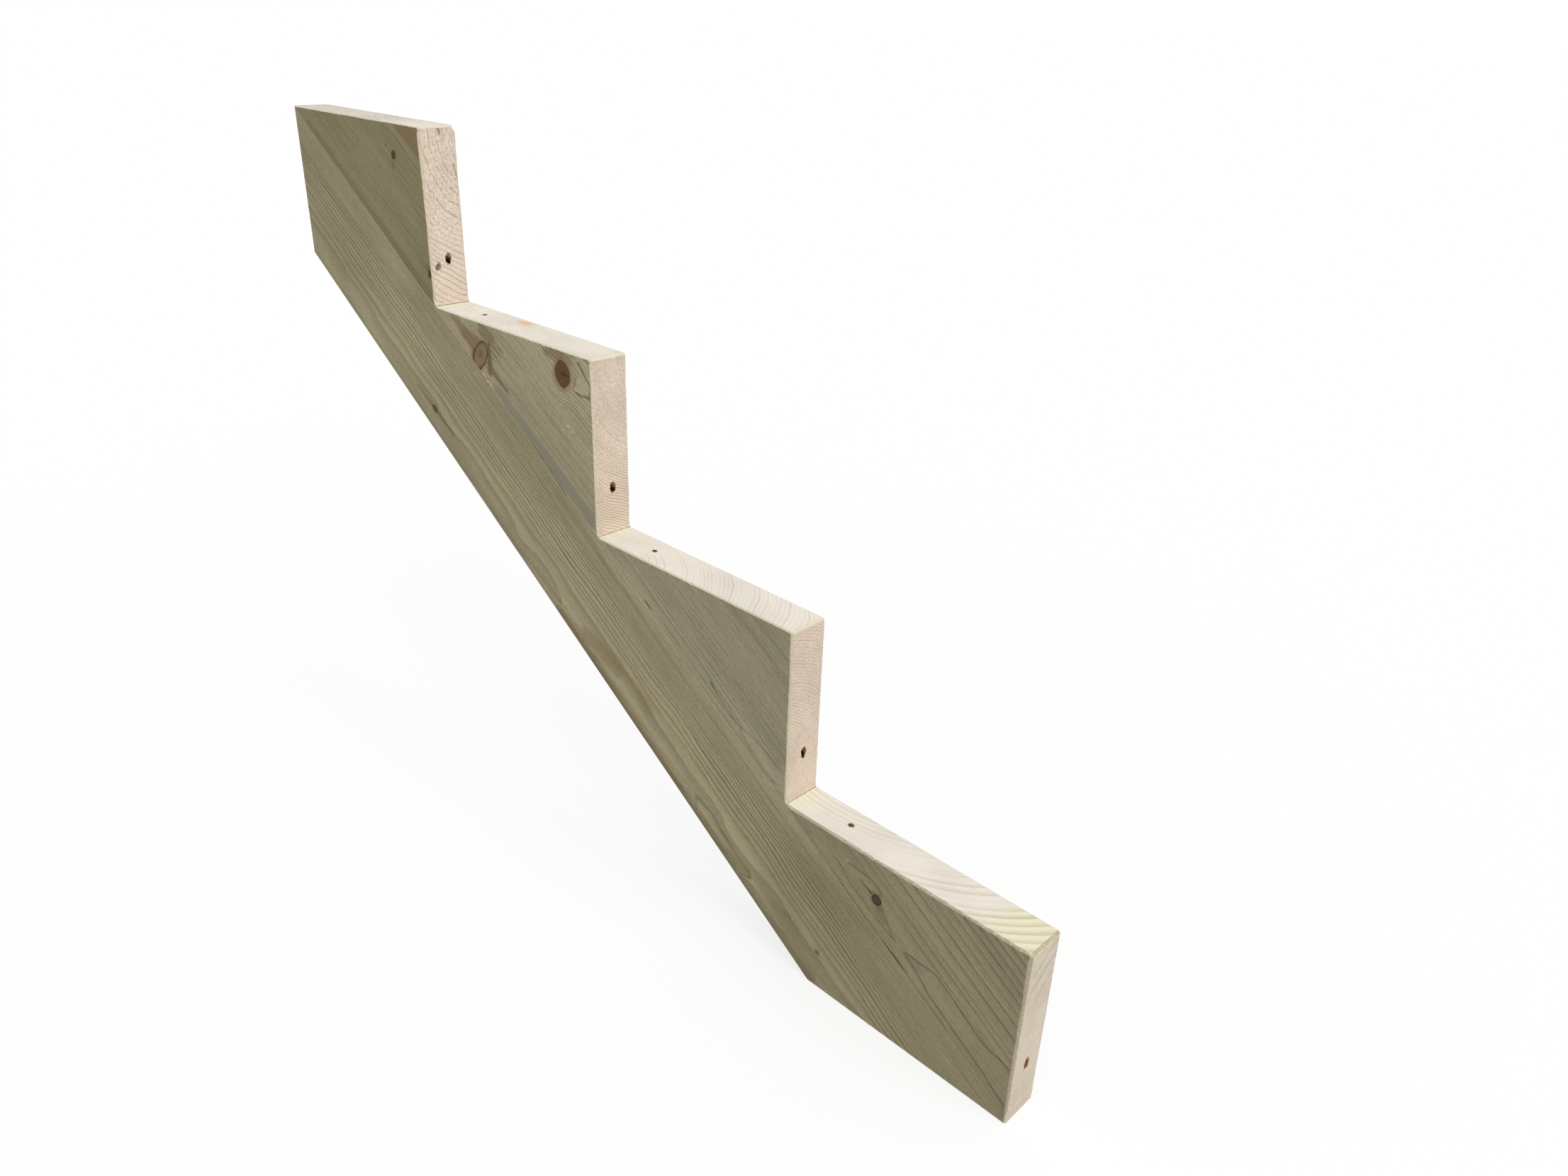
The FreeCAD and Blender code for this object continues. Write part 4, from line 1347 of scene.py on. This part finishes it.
# %% Dried glue
glue, tree = new_material("dried_wood_glue")
shader = add(tree, "BsdfPrincipled", {"Base Color": linear("#D6D1B6"), "Roughness": 0.4, "IOR": 1.46})
add(tree, "OutputMaterial", {0: shader}, out=None)
drops = np.array([
    (447.5, 1.0, 1.2, 0.7), (450.0, 0.6, 1.5, 0.7), (453.5, 1.8, 0.9, 0.6), (459.3, -0.2, 1.6, 0.9),
    (463.2, 0.9, 1.0, 0.6), (465.4, -0.2, 1.5, 1.0), (588.1, 68.2, 2.2, 0.8), (595.5, 67.6, 1.2, 0.8),
    (557.7, 56.8, 0.8, 0.6),
])
DROP_TURNS, DROP_RINGS = 16, 6
DROP_HEIGHT, DROP_SINK = 0.55, 0.3


def glue_drop(drop, first):
    """A low dome: at climb s, cos(s) of the drop's half axes wide and sin(s) of its height up."""
    along, off, long, wide = drop
    turn = np.arange(DROP_TURNS) * 2 * math.pi / DROP_TURNS
    climb = np.linspace(-0.5, math.pi / 2, DROP_RINGS + 1)[:-1, None]
    uneven = 1 + 0.15 * np.sin(3 * turn + along)
    points = from_grain(
        along + long * uneven * np.cos(climb) * np.cos(turn),
        off + wide * uneven * np.cos(climb) * np.sin(turn),
        NEAR - DROP_HEIGHT * wide * np.sin(climb) * np.ones(DROP_TURNS),
    ).reshape(-1, 3)
    top, bottom = from_grain(along, off, [NEAR - DROP_HEIGHT * wide, NEAR + DROP_SINK * wide])
    rings = first + np.arange(DROP_RINGS * DROP_TURNS).reshape(DROP_RINGS, DROP_TURNS)
    last = first + len(points)
    triangles = np.concatenate([fan_faces(rings[-1], last), fan_faces(rings[0][::-1], last + 1)])
    return np.vstack([points, top, bottom]), strip_faces(rings), triangles


drop_points = DROP_RINGS * DROP_TURNS + 2
made = [glue_drop(drop, number * drop_points) for number, drop in enumerate(drops)]
glue_points, glue_quads, glue_triangles = (np.concatenate(part) for part in zip(*made))
glue_drops = build("glue_drops", glue_points, glue_quads, glue_triangles, {}, glue)
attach(glue_drops, "root")

# %% [markdown]
